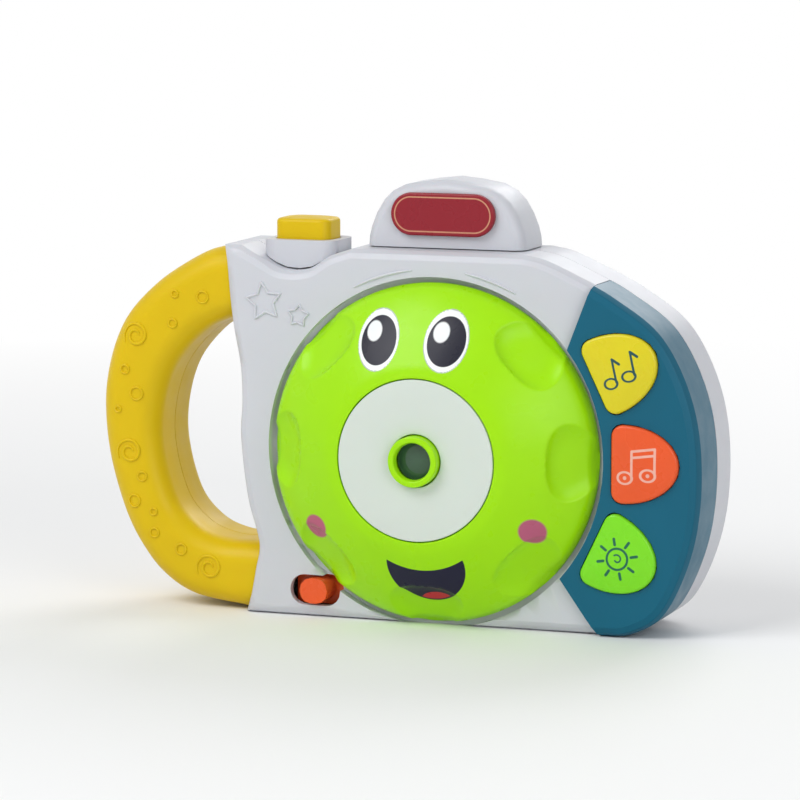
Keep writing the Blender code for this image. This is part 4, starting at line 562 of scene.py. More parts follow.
def carried(node: str, frame: dict, crease: float) -> bpy.types.Object:
    """A merged copy of a CAD node whose shape is right, with flat faces joined and round ones smooth.

    Args:
        node: The CAD node's name.
        crease: Angle in degrees above which an edge stays sharp.

    Returns:
        The copy, weighted so that flat faces stay flat.
    """
    mesh = frame["nodes"][node].data.copy()
    mesh.materials.clear()
    bm = bmesh.new()
    bm.from_mesh(mesh)
    bmesh.ops.remove_doubles(bm, verts=bm.verts, dist=WELD)
    bmesh.ops.dissolve_limit(bm, angle_limit=math.radians(0.8), verts=bm.verts, edges=bm.edges)
    bm.to_mesh(mesh)
    bm.free()
    shade(mesh, crease)
    made = linked(f"{node}_skin", mesh)
    weights = made.modifiers.new("weights", "WEIGHTED_NORMAL")
    weights.keep_sharp = True
    return made


# Printed marks, as distances in millimetres that are negative inside the mark


def disc_field(x: Array, z: Array, cx: float, cz: float, radius: float) -> Array:
    """Distance from a round dot's edge."""
    return np.hypot(x - cx, z - cz) - radius


def ellipse_field(x: Array, z: Array, cx: float, cz: float, a: float, b: float) -> Array:
    """Nearly the distance from an ellipse's edge: the scaled radius less one, times the mean half axis."""
    return (np.hypot((x - cx) / a, (z - cz) / b) - 1) * (a + b) / 2


def line_field(x: Array, z: Array, start: Sequence[float], end: Sequence[float], half: float) -> Array:
    """Distance from the edge of a round-ended line.

    It is the distance from the nearest point of the line's middle, less its half width.

    Args:
        x: Each point's x.
        z: Each point's z.
        start: Where the line starts.
        end: Where it ends.
        half: Half its width.

    Returns:
        The distance for each point.
    """
    dx, dz = end[0] - start[0], end[1] - start[1]
    t = np.clip(((x - start[0]) * dx + (z - start[1]) * dz) / (dx * dx + dz * dz), 0, 1)
    return np.hypot(x - start[0] - t * dx, z - start[1] - t * dz) - half


def outline_of(distance: Array, half: float) -> Array:
    """The distance field of a line drawn along a shape's edge."""
    return np.abs(distance) - half


def vectors(mesh: bpy.types.Mesh, what: str = "co") -> Array:
    """The places or the normals of a mesh's points.

    Args:
        mesh: The mesh.
        what: The measure's name.

    Returns:
        One row of three for each point.
    """
    found = np.empty(len(mesh.vertices) * 3, np.float32)
    mesh.vertices.foreach_get(what, found)
    return found.reshape(-1, 3).astype(float)


def write_field(
    piece: bpy.types.Object, name: str, field: Callable[[Array, Array], Array], shown: Array | None = None
) -> None:
    """Stores a printed mark's distance field on a piece.

    Args:
        piece: The mesh object.
        name: The attribute's name.
        field: Gives the distance from the x and z of each point, in millimetres.
        shown: Which points the mark may cover, or None for all of them.
    """
    places = vectors(piece.data) / MM
    values = field(places[:, 0], places[:, 2]).astype(np.float32)
    if shown is not None:
        values[~shown] = 1.0
    attribute = piece.data.attributes.new(name, "FLOAT", "POINT")
    attribute.data.foreach_set("value", values)


# Finishes


@dataclass(frozen=True)
class Ink:
    """A printed colour that covers where its distance attribute is below zero."""

    attribute: str
    colour: Colour
    softness: float = 0.10


class NodeBench:
    """Adds and joins the nodes of one material."""

    def __init__(self, name: str) -> None:
        """Starts a material with an empty Principled shader.

        Args:
            name: The material's name.
        """
        self.material = bpy.data.materials.new(name)
        self.material.use_nodes = True
        self.tree = self.material.node_tree
        self.shader = self.tree.nodes["Principled BSDF"]
        self.place = self.add("TexCoord").outputs["Object"]

    def add(self, kind: str, settings: dict | None = None, **inputs: object) -> bpy.types.Node:
        """Adds a node.

        Args:
            kind: The node's type, without its prefix.
            settings: Properties to set on it.
            inputs: Values or sockets for its inputs, by name with underscores for spaces.

        Returns:
            The node.
        """
        node = self.tree.nodes.new(f"ShaderNode{kind}")
        for key, value in (settings or {}).items():
            setattr(node, key, value)
        for key, value in inputs.items():
            self.feed(node, key.replace("_", " "), value)
        return node

    def feed(self, node: bpy.types.Node, socket: str, value: object) -> None:
        """Sets a socket's value, or links another socket to it.

        Args:
            node: The node.
            socket: The socket's name, or its number among the inputs.
            value: The value or the other socket.
        """
        target = node.inputs[int(socket)] if socket.isdigit() else node.inputs[socket]
        if isinstance(value, bpy.types.NodeSocket):
            self.tree.links.new(value, target)
        else:
            target.default_value = value

    def mix(self, share: object, first: object, second: object) -> bpy.types.NodeSocket:
        """Mixes two colours.

        Args:
            share: How much of the second.
            first: The first colour.
            second: The second colour.

        Returns:
            The mixed colour.
        """
        node = self.add("Mix", {"data_type": "RGBA"})
        for number, value in ((0, share), (6, first), (7, second)):
            self.feed(node, str(number), value)
        return node.outputs[2]

    def ranged(
        self, value: object, low: float, high: float, to_low: float, to_high: float
    ) -> bpy.types.NodeSocket:
        """Carries a value from one range to another, and holds it at the ends.

        Args:
            value: The value.
            low: Where its range starts.
            high: Where its range ends.
            to_low: What the start becomes.
            to_high: What the end becomes.

        Returns:
            The new value.
        """
        node = self.add("MapRange", Value=value, From_Min=low, From_Max=high, To_Min=to_low, To_Max=to_high)
        return node.outputs["Result"]

    def noise(self, scale: float, detail: float, **inputs: object) -> bpy.types.NodeSocket:
        """A noise over the piece's own place, from nothing to one."""
        inputs = {"Vector": self.place, "Scale": scale, "Detail": detail, **inputs}
        return self.add("TexNoise", **inputs).outputs["Fac"]

    def bump(
        self, strength: float, distance: float, height: object, **inputs: object
    ) -> bpy.types.NodeSocket:
        """A normal lifted by a height, at most by the distance in metres times the strength."""
        inputs = {"Strength": strength, "Distance": distance, "Height": height, **inputs}
        return self.add("Bump", **inputs).outputs["Normal"]

    def finish(self, **inputs: object) -> bpy.types.Material:
        """Feeds the shader.

        Args:
            inputs: Values or sockets for its inputs, by name with underscores for spaces.

        Returns:
            The finished material.
        """
        for key, value in inputs.items():
            self.feed(self.shader, key.replace("_", " "), value)
        return self.material

    def printed(self, ground: bpy.types.NodeSocket, inks: Sequence[Ink]) -> bpy.types.NodeSocket:
        """Lays inks over a ground colour in turn, each where its distance attribute is below zero.

        Args:
            ground: The ground colour.
            inks: What is printed, from the lowest up.

        Returns:
            The printed colour.
        """
        for ink in inks:
            distance = self.add("Attribute", {"attribute_name": ink.attribute}).outputs["Fac"]
            cover = self.ranged(distance, -ink.softness / 2, ink.softness / 2, 1.0, 0.0)
            ground = self.mix(cover, ground, rgba(ink.colour))
        return ground


def rgba(colour: Colour, factor: float = 1.0) -> tuple[float, float, float, float]:
    """A linear colour times a factor, with full cover."""
    return (*(min(1.0, c * factor) for c in colour), 1.0)


@dataclass(frozen=True)
class Moulded:
    """Injection-moulded plastic: a faint flow in its colour, a rippled gloss and a fine grain.

    The flow is a broad noise that shifts the colour by its share. The ripple and the grain are noises of a
    few millimetres and a few tenths that lift the surface, and the gloss varies with the ripple's.
    """

    name: str
    colour: Colour
    roughness: float = 0.22
    flow: float = 0.05
    ripple: float = 0.05
    grain: float = 0.03
    scatter: float = 0.06
    coat: float = 0.05
    specular: float = 0.32
    inks: tuple[Ink, ...] = ()

    def build(self) -> bpy.types.Material:
        """Makes the material.

        Returns:
            The Blender material.
        """
        bench = NodeBench(self.name)
        broad = bench.noise(22.0, 3.0, Distortion=0.8)
        middle = bench.noise(180.0, 2.0)
        fine = bench.noise(2600.0, 2.0)
        share = bench.ranged(broad, 0.3, 0.7, 0.0, 1.0)
        ground = bench.mix(share, rgba(self.colour, 1 - self.flow), rgba(self.colour, 1 + self.flow))
        ripple = bench.bump(self.ripple, 0.0006, middle)
        return bench.finish(
            Base_Color=bench.printed(ground, self.inks),
            Roughness=bench.ranged(middle, 0.3, 0.7, self.roughness * 0.85, self.roughness * 1.15),
            Normal=bench.bump(self.grain, 0.00012, fine, Normal=ripple),
            Subsurface_Weight=self.scatter, Subsurface_Scale=0.0015, Specular_IOR_Level=self.specular,
            Coat_Weight=self.coat, Coat_Roughness=0.08,
        )


@dataclass(frozen=True)
class Metal:
    """Plated or brushed metal: streaks along one axis vary the gloss, and the same streaks lift the surface a
    little to break up the shine.
    """

    name: str
    colour: Colour
    roughness: float = 0.28
    streak: tuple[float, float, float] = (300.0, 2400.0, 300.0)

    def build(self) -> bpy.types.Material:
        """Makes the material.

        Returns:
            The Blender material.
        """
        bench = NodeBench(self.name)
        stretched = bench.add("Mapping", Vector=bench.place, Scale=self.streak).outputs["Vector"]
        streaks = bench.noise(1.0, 3.0, Vector=stretched)
        share = bench.ranged(streaks, 0.3, 0.7, 0.0, 1.0)
        return bench.finish(
            Base_Color=bench.mix(share, rgba(self.colour, 0.82), rgba(self.colour, 1.08)),
            Metallic=1.0,
            Roughness=bench.ranged(streaks, 0.3, 0.7, self.roughness * 0.7, self.roughness * 1.3),
            Normal=bench.bump(0.08, 0.0001, streaks),
        )


@dataclass(frozen=True)
class Clear:
    """Clear moulded optics or film: nearly smooth, with a faint tint, a slight waviness and printed inks."""

    name: str
    colour: Colour
    roughness: float = 0.02
    passing: float = 1.0
    inks: tuple[Ink, ...] = ()

    def build(self) -> bpy.types.Material:
        """Makes the material.

        Returns:
            The Blender material.
        """
        bench = NodeBench(self.name)
        wave = bench.noise(240.0, 1.0)
        tint = bench.mix(wave, rgba(self.colour, 0.94), rgba(self.colour))
        return bench.finish(
            Base_Color=bench.printed(tint, self.inks), Normal=bench.bump(0.03, 0.0002, wave),
            Roughness=self.roughness, Transmission_Weight=self.passing, IOR=1.49,
        )


@dataclass(frozen=True)
class CircuitBoard:
    """Solder mask over copper tracks: diagonal bands make the tracks, and small square dots in blocky cells
    the tinned pads.
    """

    name: str
    mask: Colour = (0.012, 0.115, 0.045)
    track: Colour = (0.030, 0.210, 0.085)
    pad: Colour = (0.66, 0.64, 0.58)

    def build(self) -> bpy.types.Material:
        """Makes the material.

        Returns:
            The Blender material.
        """
        bench = NodeBench(self.name)
        flat = bench.add("Mapping", Vector=bench.place, Scale=(1.0, 0.0, 1.0)).outputs["Vector"]
        squares = {"distance": "CHEBYCHEV", "feature": "F1"}
        cells = bench.add("TexVoronoi", squares, Vector=flat, Scale=420.0)
        slant = {"bands_direction": "DIAGONAL"}
        bands = bench.add("TexWave", slant, Vector=flat, Scale=230.0, Distortion=4.0)
        tracks = bench.ranged(bands.outputs["Fac"], 0.55, 0.62, 0.0, 1.0)
        pads = bench.ranged(cells.outputs["Distance"], 0.10, 0.13, 1.0, 0.0)
        colour = bench.mix(tracks, rgba(self.mask), rgba(self.track))
        return bench.finish(
            Base_Color=bench.mix(pads, colour, rgba(self.pad)), Metallic=pads,
            Roughness=bench.ranged(pads, 0, 1, 0.42, 0.25), Normal=bench.bump(0.3, 0.0001, tracks),
        )


@dataclass(frozen=True)
class CellSleeve:
    """A battery's printed sleeve: a dark body, a copper band towards one end and bare metal at both ends."""

    name: str
    middle_x: float
    turned_round: bool
    half_length: float
    body: Colour = (0.015, 0.015, 0.018)
    band: Colour = (0.62, 0.24, 0.05)
    bare: Colour = (0.70, 0.70, 0.72)

    def build(self) -> bpy.types.Material:
        """Makes the material, whose bands are steps of the distance along the cell from its middle.

        Returns:
            The Blender material.
        """
        bench = NodeBench(self.name)
        sign = -1.0 if self.turned_round else 1.0
        middle = (-sign * self.middle_x * MM, 0, 0)
        moved = bench.add("Mapping", Vector=bench.place, Location=middle, Scale=(sign, 1, 1))
        along = bench.add("SeparateXYZ", Vector=moved.outputs["Vector"]).outputs["X"]
        edge = self.half_length * MM
        banded = bench.ranged(along, edge * 0.38, edge * 0.40, 0.0, 1.0)
        size = bench.add("Math", {"operation": "ABSOLUTE"}, **{"0": along}).outputs[0]
        ends = bench.ranged(size, edge * 0.94, edge * 0.945, 0.0, 1.0)
        colour = bench.mix(banded, rgba(self.body), rgba(self.band))
        return bench.finish(
            Base_Color=bench.mix(ends, colour, rgba(self.bare)),
            Metallic=bench.ranged(ends, 0, 1, 0.35, 1.0),
            Roughness=bench.ranged(bench.noise(500.0, 4.0), 0.3, 0.7, 0.22, 0.4),
        )


FRONT_GLASS = Clear("optic_front", (0.075, 0.170, 0.095), roughness=0.05, passing=0.45)
KNOB_ORANGE = Moulded("knob_orange", (0.78, 0.095, 0.018), roughness=0.30)
LIME_GLOSS = Moulded(
    "lime_gloss", (0.345, 0.74, 0.001),
    roughness=0.30, flow=0.03, ripple=0.03, grain=0.02, coat=0.02, specular=0.22,
)
LIME_PRINTED = replace(LIME_GLOSS, name="lime_printed", inks=(
    Ink("cheek", (0.46, 0.105, 0.19), 0.5),
    Ink("eye_white", (0.86, 0.88, 0.86)),
    Ink("eye_ring", (0.42, 0.46, 0.44)),
    Ink("pupil", (0.010, 0.010, 0.022)),
    Ink("eye_glint", (0.82, 0.84, 0.84), 0.35),
    Ink("mouth", (0.012, 0.010, 0.035)),
    Ink("tongue", (0.52, 0.020, 0.035)),
))
FILM_PRINTED = Clear("film_printed", (0.05, 0.10, 0.20), roughness=0.16, passing=0.35, inks=(
    Ink("window_warm", (0.80, 0.46, 0.06), 0.2),
    Ink("window_cool", (0.10, 0.42, 0.72), 0.2),
    Ink("motif_light", (0.86, 0.80, 0.30), 0.15),
    Ink("motif_pink", (0.78, 0.12, 0.22), 0.15),
))
LEAD_WHITE = Moulded(
    "lead_white", (0.66, 0.66, 0.64),
    roughness=0.42, flow=0.03, ripple=0.04, grain=0.10, scatter=0.02, coat=0.0,
)


def button_finish(name: str, colour: Colour, ink: Colour) -> Moulded:
    """A push button's plastic, with the ink of its symbol."""
    return Moulded(name, colour, roughness=0.28, flow=0.04, inks=(Ink("symbol", ink),))


class Finishes:
    """The toy's finishes by material slot."""

    KINDS: dict[Slot, Moulded | Metal | Clear | CircuitBoard] = {
        Slot.SHELL: Moulded(
            "shell_satin_white", (0.57, 0.58, 0.62),
            roughness=0.36, flow=0.02, grain=0.10, coat=0.02, specular=0.26,
        ),
        Slot.LIME: LIME_GLOSS,
        Slot.YELLOW: Moulded(
            "handle_yellow", (0.67, 0.46, 0.004),
            roughness=0.40, flow=0.04, ripple=0.02, grain=0.02, coat=0.0, specular=0.18,
        ),
        Slot.TEAL: Moulded(
            "panel_teal", (0.003, 0.105, 0.175),
            roughness=0.34, ripple=0.015, grain=0.012, scatter=0.0, coat=0.02, specular=0.22,
        ),
        Slot.ORANGE: button_finish("button_orange", (0.78, 0.095, 0.018), (0.80, 0.42, 0.34)),
        Slot.BUTTON_YELLOW: button_finish("button_yellow", (0.68, 0.58, 0.010), (0.010, 0.07, 0.08)),
        Slot.BUTTON_GREEN: button_finish("button_green", (0.19, 0.66, 0.010), (0.008, 0.12, 0.07)),
        Slot.PLAQUE: Moulded(
            "plaque_red", (0.26, 0.012, 0.022),
            roughness=0.28, specular=0.26, inks=(Ink("edge_line", (0.56, 0.27, 0.16)),),
        ),
        Slot.PLATE: Moulded(
            "plate_off_white", (0.63, 0.69, 0.63),
            roughness=0.34, flow=0.015, ripple=0.03, grain=0.05, coat=0.02, specular=0.26,
        ),
        Slot.DISC: Moulded("disc_blue", (0.012, 0.19, 0.60), roughness=0.26, ripple=0.06, grain=0.04),
        Slot.BLACK: Moulded(
            "black_satin", (0.016, 0.016, 0.017),
            roughness=0.45, flow=0.10, ripple=0.06, grain=0.12, scatter=0.0, coat=0.0,
        ),
        Slot.LED: Moulded(
            "lamp_clear_white", (0.80, 0.83, 0.80),
            roughness=0.12, flow=0.02, ripple=0.02, grain=0.02, scatter=0.30,
        ),
        Slot.LEAD_RED: replace(LEAD_WHITE, name="lead_red", colour=(0.42, 0.015, 0.012), flow=0.06),
        Slot.LEAD_WHITE: LEAD_WHITE,
        Slot.FILM: FILM_PRINTED,
        Slot.LENS: Clear("optic_clear", (0.93, 0.97, 0.95)),
        Slot.BOARD: CircuitBoard("board_green"),
        Slot.SCREW: Metal("screw_zinc", (0.58, 0.58, 0.60)),
        Slot.SPRING: Metal("spring_nickel", (0.64, 0.63, 0.61), roughness=0.20),
        Slot.SPEAKER: Moulded(
            "speaker_cone", (0.020, 0.019, 0.018),
            roughness=0.62, flow=0.12, ripple=0.20, grain=0.30, scatter=0.0, coat=0.0,
        ),
    }

    def __init__(self) -> None:
        """Starts with no material made."""
        self.made: dict[str, bpy.types.Material] = {}

    def of(self, slot: Slot) -> bpy.types.Material:
        """The material of a slot, made once."""
        return self.named(self.KINDS[slot])

    def named(self, kind: Moulded | Metal | Clear | CircuitBoard | CellSleeve) -> bpy.types.Material:
        """Makes the material of a finish, once under the finish's name.

        Args:
            kind: The finish.

        Returns:
            Its material.
        """
        if kind.name not in self.made:
            self.made[kind.name] = kind.build()
        return self.made[kind.name]


@dataclass
class Workshop:
    """What each sub-assembly needs to place and dress its pieces."""

    frame: dict
    finishes: Finishes
    pieces: int = 0

    def dress(
        self, piece: bpy.types.Object, slot: Slot, body: str, replaces: Sequence[str] = (),
        material: bpy.types.Material | None = None,
    ) -> bpy.types.Object:
        """Gives a piece its material and body, and hides the CAD nodes that it stands for.

        Args:
            piece: The new object.
            slot: The record's slot that its finish belongs to.
            body: The CAD body that it moves with.
            replaces: The CAD nodes that it stands for.
            material: Another material than the slot's own.

        Returns:
            The piece.
        """
        piece.data.materials.clear()
        piece.data.materials.append(material or self.finishes.of(slot))
        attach(piece, body)
        if replaces:
            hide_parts(*replaces)
        self.pieces += 1
        LOG.info("%s rides on %s, %d faces", piece.name, body, len(piece.data.polygons))
        return piece

    def carry(
        self, node: str, slot: Slot, body: str = "housing", material: bpy.types.Material | None = None,
        crease: float = CARRIED_CREASE,
    ) -> bpy.types.Object:
        """Dresses a merged copy of a CAD node in that node's place."""
        return self.dress(carried(node, self.frame, crease), slot, body, (node,), material)

    def spring(self, node: str, axis: int, turns: int, joint: str | None = None, travel: float = 0.0) -> None:
        """Winds a spring in its node's place, and gives it a mesh of its own when a joint is named.

        Args:
            node: The CAD node.
            axis: 0, 1 or 2 for X, Y or Z.
            turns: How often it goes round.
            joint: A joint's name, which only decides whether the spring gets a mesh of its own.
            travel: Not used.
        """
        box = NodeBox.of(node)
        radius = np.delete(box.size, axis).max() / 2
        start = box.centre.copy()
        start[axis] = box.low[axis]
        length = box.size[axis]
        wire = make_piece(f"{node}_wire", [coil(start, axis, radius, length, SPRING_WIRE, turns)])
        self.dress(wire, Slot.SPRING, "housing", (node,))
        if joint:
            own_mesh(wire)


# Sub-assemblies


@dataclass
class Head:
    """The turning head: scalloped cover with its printed face, bare plate, and the lens in its ring."""

    shop: Workshop
    wall: float = 2.0
    skirt_wall: float = 1.8
    skirt_inner: float = 27.3
    skirt_start: float = 4.4
    flange_front: float = -5.9
    flange_gap: float = 0.3
    rim_start: float = 15.0
    plate_radius: float = 20.7
    plate_clearance: float = 0.3
    plate_thickness: float = 1.5
    lip: float = 0.5
    ring_radius: float = 6.5
    ring_flange: float = 1.0
    sight_radius: float = 4.6
    lens_clearance: float = 0.3
    scallops: int = 8
    scallop_depth: float = 2.0
    scallop_length: float = 20.0
    scallop_width: float = 12.0
    plain_scallop: int = 2
    slot_half: float = 2.8
    slot_depth: float = 3.2
    steps: int = 720
    rise: tuple[tuple[float, float], ...] = (
        (0.0, 0.0), (3.0, 0.8), (8.0, 3.2), (13.0, 6.0), (17.5, 9.1), (21.0, 12.2)
    )
    rise_span: float = 22.3
    eyes: tuple[tuple[float, float], ...] = ((-11.4, 29.9), (6.9, 30.3))
    cheeks: tuple[tuple[float, float], ...] = ((-29.2, -19.4), (29.4, -17.4))
    cheek_radius: float = 3.3
    mouth: tuple[float, float] = (2.0, -29.6)
    mouth_tilt: float = 2.5

    def __post_init__(self) -> None:
        """Reads the head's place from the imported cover."""
        box = NodeBox.of("head_cover")
        self.axis = box.centre[[0, 2]]
        self.radius = box.size[0] / 2
        self.front = box.low[1]
        self.back = box.high[1]
        self.skirt_outer = self.skirt_inner + self.skirt_wall
        self.sleeve = self.ring_radius + self.plate_clearance

    def build(self) -> None:
        """Makes every piece of the head."""
        self.build_cover()
        self.build_plate()
        self.build_lens_ring()
        glass = self.shop.finishes.named(FRONT_GLASS)
        self.shop.carry("projection_lens", Slot.LENS, "cover", glass, crease=60)
        self.shop.carry("lens_retainer", Slot.BLACK, "cover")

    def outer_curve(self) -> Array:
        """The cover's outer curve, from the plate's lip to its rim.

        Returns:
            Its points as (radius, depth).
        """
        start = self.plate_radius + self.plate_clearance + self.lip
        span = (self.radius - start) / self.rise_span
        points = [(start + r * span, self.front + d) for r, d in self.rise]
        return catmull_rom([*points, (self.radius, self.front + self.rim_start)], 10)

    def pressed(self, points: Array) -> Array:
        """Presses the finger dishes into the cover.

        With s for one less the square of the distance from a dish's middle, measured in half lengths along
        the rim and half widths along the radius, its depth is its greatest depth times s times two less s. It
        is pressed inwards and back. The place above the eyes stays plain.

        Args:
            points: The cover's points.

        Returns:
            The points, moved where a dish is.
        """
        dx, dz = points[:, 0] - self.axis[0], points[:, 2] - self.axis[1]
        radius = np.maximum(np.hypot(dx, dz), 1e-6)
        step = 2 * math.pi / self.scallops
        angle = np.arctan2(dz, dx)
        off = (angle + step / 2) % step - step / 2
        along = radius * off / (self.scallop_length / 2)
        out = (radius - (self.radius - 0.4 * self.scallop_width)) / (self.scallop_width / 2)
        inside = np.clip(1 - along**2 - out**2, 0, None)
        weight = inside * (2 - inside)
        weight[(radius < self.skirt_outer + 0.5) | (points[:, 1] > self.back - 1.0)] = 0
        weight[np.round(angle / step) == self.plain_scallop] = 0
        push = np.stack([-dx / radius, np.ones_like(dx), -dz / radius], axis=1) / math.sqrt(2)
        return points + push * (self.scallop_depth * weight)[:, None]

    def build_cover(self) -> None:
        """The lime cover, printed with the face.

        Its profile is turned about the head's axis. The lug slots are cut into the skirt by moving its edge
        forward where they lie, and the finger dishes are pressed in.
        """
        outer = self.outer_curve()
        lip_radius = self.plate_radius + self.plate_clearance
        seat = self.front + self.plate_thickness + self.plate_clearance
        ceiling, skirt_end = seat + self.wall, self.flange_front - self.flange_gap
        inner = outer[::4] + np.array([-0.75, 0.75]) * self.wall
        inner = inner[inner[:, 0] > self.skirt_outer + 0.5]
        head = [(self.sleeve, seat), (lip_radius, seat), (lip_radius, self.front), tuple(outer[0])]
        rim = [
            tuple(outer[-1]), (self.radius, self.back), (self.radius - self.wall, self.back), tuple(inner[-1])
        ]
        rear = [
            (self.skirt_outer, self.front + self.skirt_start), (self.skirt_outer, skirt_end),
            (self.skirt_inner, skirt_end), (self.skirt_inner, ceiling), (self.sleeve, ceiling),
        ]
        head, rim = filleted(head, 0.2, 3)[:-1], filleted(rim, 0.35, 4)[1:-1]
        profile = np.vstack([head, outer, rim, inner[::-1], np.array(rear)])
        points, faces = revolved(profile, self.axis, self.steps, closed=True)
        dx, dz = np.abs(points[:, 0] - self.axis[0]), np.abs(points[:, 2] - self.axis[1])
        rear_edge = (np.hypot(dx, dz) < self.skirt_outer + 0.05) & (points[:, 1] > skirt_end - 0.1)
        points[rear_edge & (np.minimum(dx, dz) < self.slot_half), 1] = self.flange_front - self.slot_depth
        cover = make_piece("head_cover_dome", [(self.pressed(points), faces)], crease=50)
        self.print_face(cover)
        inked = self.shop.finishes.named(LIME_PRINTED)
        self.shop.dress(cover, Slot.LIME, "cover", ("head_cover",), inked)

    def print_face(self, cover: bpy.types.Object) -> None:
        """Writes the face's distance fields: two eyes, two cheeks, and a smile with its tongue.

        The marks cover only the outside. A point is inside where its normal leans inwards or back, or where
        it is on the skirt's outer wall, which faces outwards too.

        Args:
            cover: The cover.
        """
        ax, az = self.axis

        def of_eyes(a: float, b: float, right: float = 0.0, up: float = 0.0) -> Callable:
            """Both eyes' ellipses of one size, shifted from the eyes' middles."""
            def field(x: Array, z: Array) -> Array:
                """The nearer ellipse's distance."""
                middles = [(ex + right, ez + up) for ex, ez in self.eyes]
                return np.minimum(*(ellipse_field(x - ax, z - az, *middle, a, b) for middle in middles))
            return field

        def cheeks(x: Array, z: Array) -> Array:
            """Two round dots."""
            return np.minimum(*(disc_field(x - ax, z - az, *dot, self.cheek_radius) for dot in self.cheeks))

        def smile(x: Array, z: Array) -> Array:
            """A disc less a larger one above it.

            Args:
                x: Each point's x.
                z: Each point's z.

            Returns:
                The distance from the mark's edge.
            """
            u, v = self.mouth_place(x, z)
            lower = ellipse_field(u, v, 0, 2.2, 10.4, 9.8)
            upper = disc_field(u, v, 0, 20.5, 19.3)
            return np.maximum(lower, -upper)

        def tongue(x: Array, z: Array) -> Array:
            """A low disc inside the smile."""
            u, v = self.mouth_place(x, z)
            return np.maximum(smile(x, z) + 0.4, ellipse_field(u, v, 0.5, -8.6, 5.2, 3.4))

        places, normals = vectors(cover.data) / MM, vectors(cover.data, "normal")
        out = places[:, [0, 2]] - self.axis
        radius = np.linalg.norm(out, axis=1)
        facing = np.sum(normals[:, [0, 2]] * out, axis=1) / radius - normals[:, 1]
        skirt = (radius < self.skirt_outer + 0.1) & (places[:, 1] > self.front + self.skirt_start - 0.1)
        outside = (facing > -0.7) & ~skirt
        eye_white = of_eyes(5.7, 7.6)
        for name, field in (
            ("eye_white", eye_white), ("eye_ring", lambda x, z: outline_of(eye_white(x, z), 0.14)),
            ("pupil", of_eyes(4.95, 6.1, 0.1, -0.1)), ("eye_glint", of_eyes(2.1, 2.5, -1.5, 2.1)),
            ("cheek", cheeks), ("mouth", smile), ("tongue", tongue),
        ):
            write_field(cover, name, field, outside)

    def mouth_place(self, x: Array, z: Array) -> tuple[Array, Array]:
        """Coordinates about the mouth's middle, turned by the face's small tilt.

        Args:
            x: Each point's x.
            z: Each point's z.

        Returns:
            The places along the mouth and up it.
        """
        tilt = math.radians(self.mouth_tilt)
        u, v = x - self.axis[0] - self.mouth[0], z - self.axis[1] - self.mouth[1]
        return u * math.cos(tilt) + v * math.sin(tilt), v * math.cos(tilt) - u * math.sin(tilt)

    def build_plate(self) -> None:
        """The bare round plate, with a rounded rim and the hole for the lens ring."""
        hole, edge = self.sleeve, self.plate_radius
        front, rear = self.front, self.front + self.plate_thickness
        corners = [(hole, rear), (hole, front), (edge, front), (edge, rear), (hole, rear)]
        plate = make_piece("face_plate_disc", [revolved(filleted(corners, 0.35, 5), self.axis, 180)])
        self.shop.dress(plate, Slot.PLATE, "cover", ("face_plate",))

    def build_lens_ring(self) -> None:
        """The lime ring round the lens, with a rounded nose and a stepped bore."""
        box, lens = NodeBox.of("lens_barrel"), NodeBox.of("projection_lens")
        front, rear, flange = box.low[1], box.high[1], box.size[0] / 2
        shoulder = rear - self.ring_flange
        seat, bore = lens.low[1] - self.lens_clearance, lens.size[0] / 2 + self.lens_clearance
        sight, ring = self.sight_radius, self.ring_radius
        corners = [
            (bore, seat), (sight + 0.5, seat), (sight, seat - 0.5), (sight + 0.35, front), (ring, front),
            (ring, shoulder), (flange, shoulder), (flange, rear), (bore, rear), (bore, seat),
        ]
        made = make_piece("lens_ring", [revolved(filleted(corners, 0.45, 5), self.axis, 120)])
        self.shop.dress(made, Slot.LIME, "cover", ("lens_barrel",))


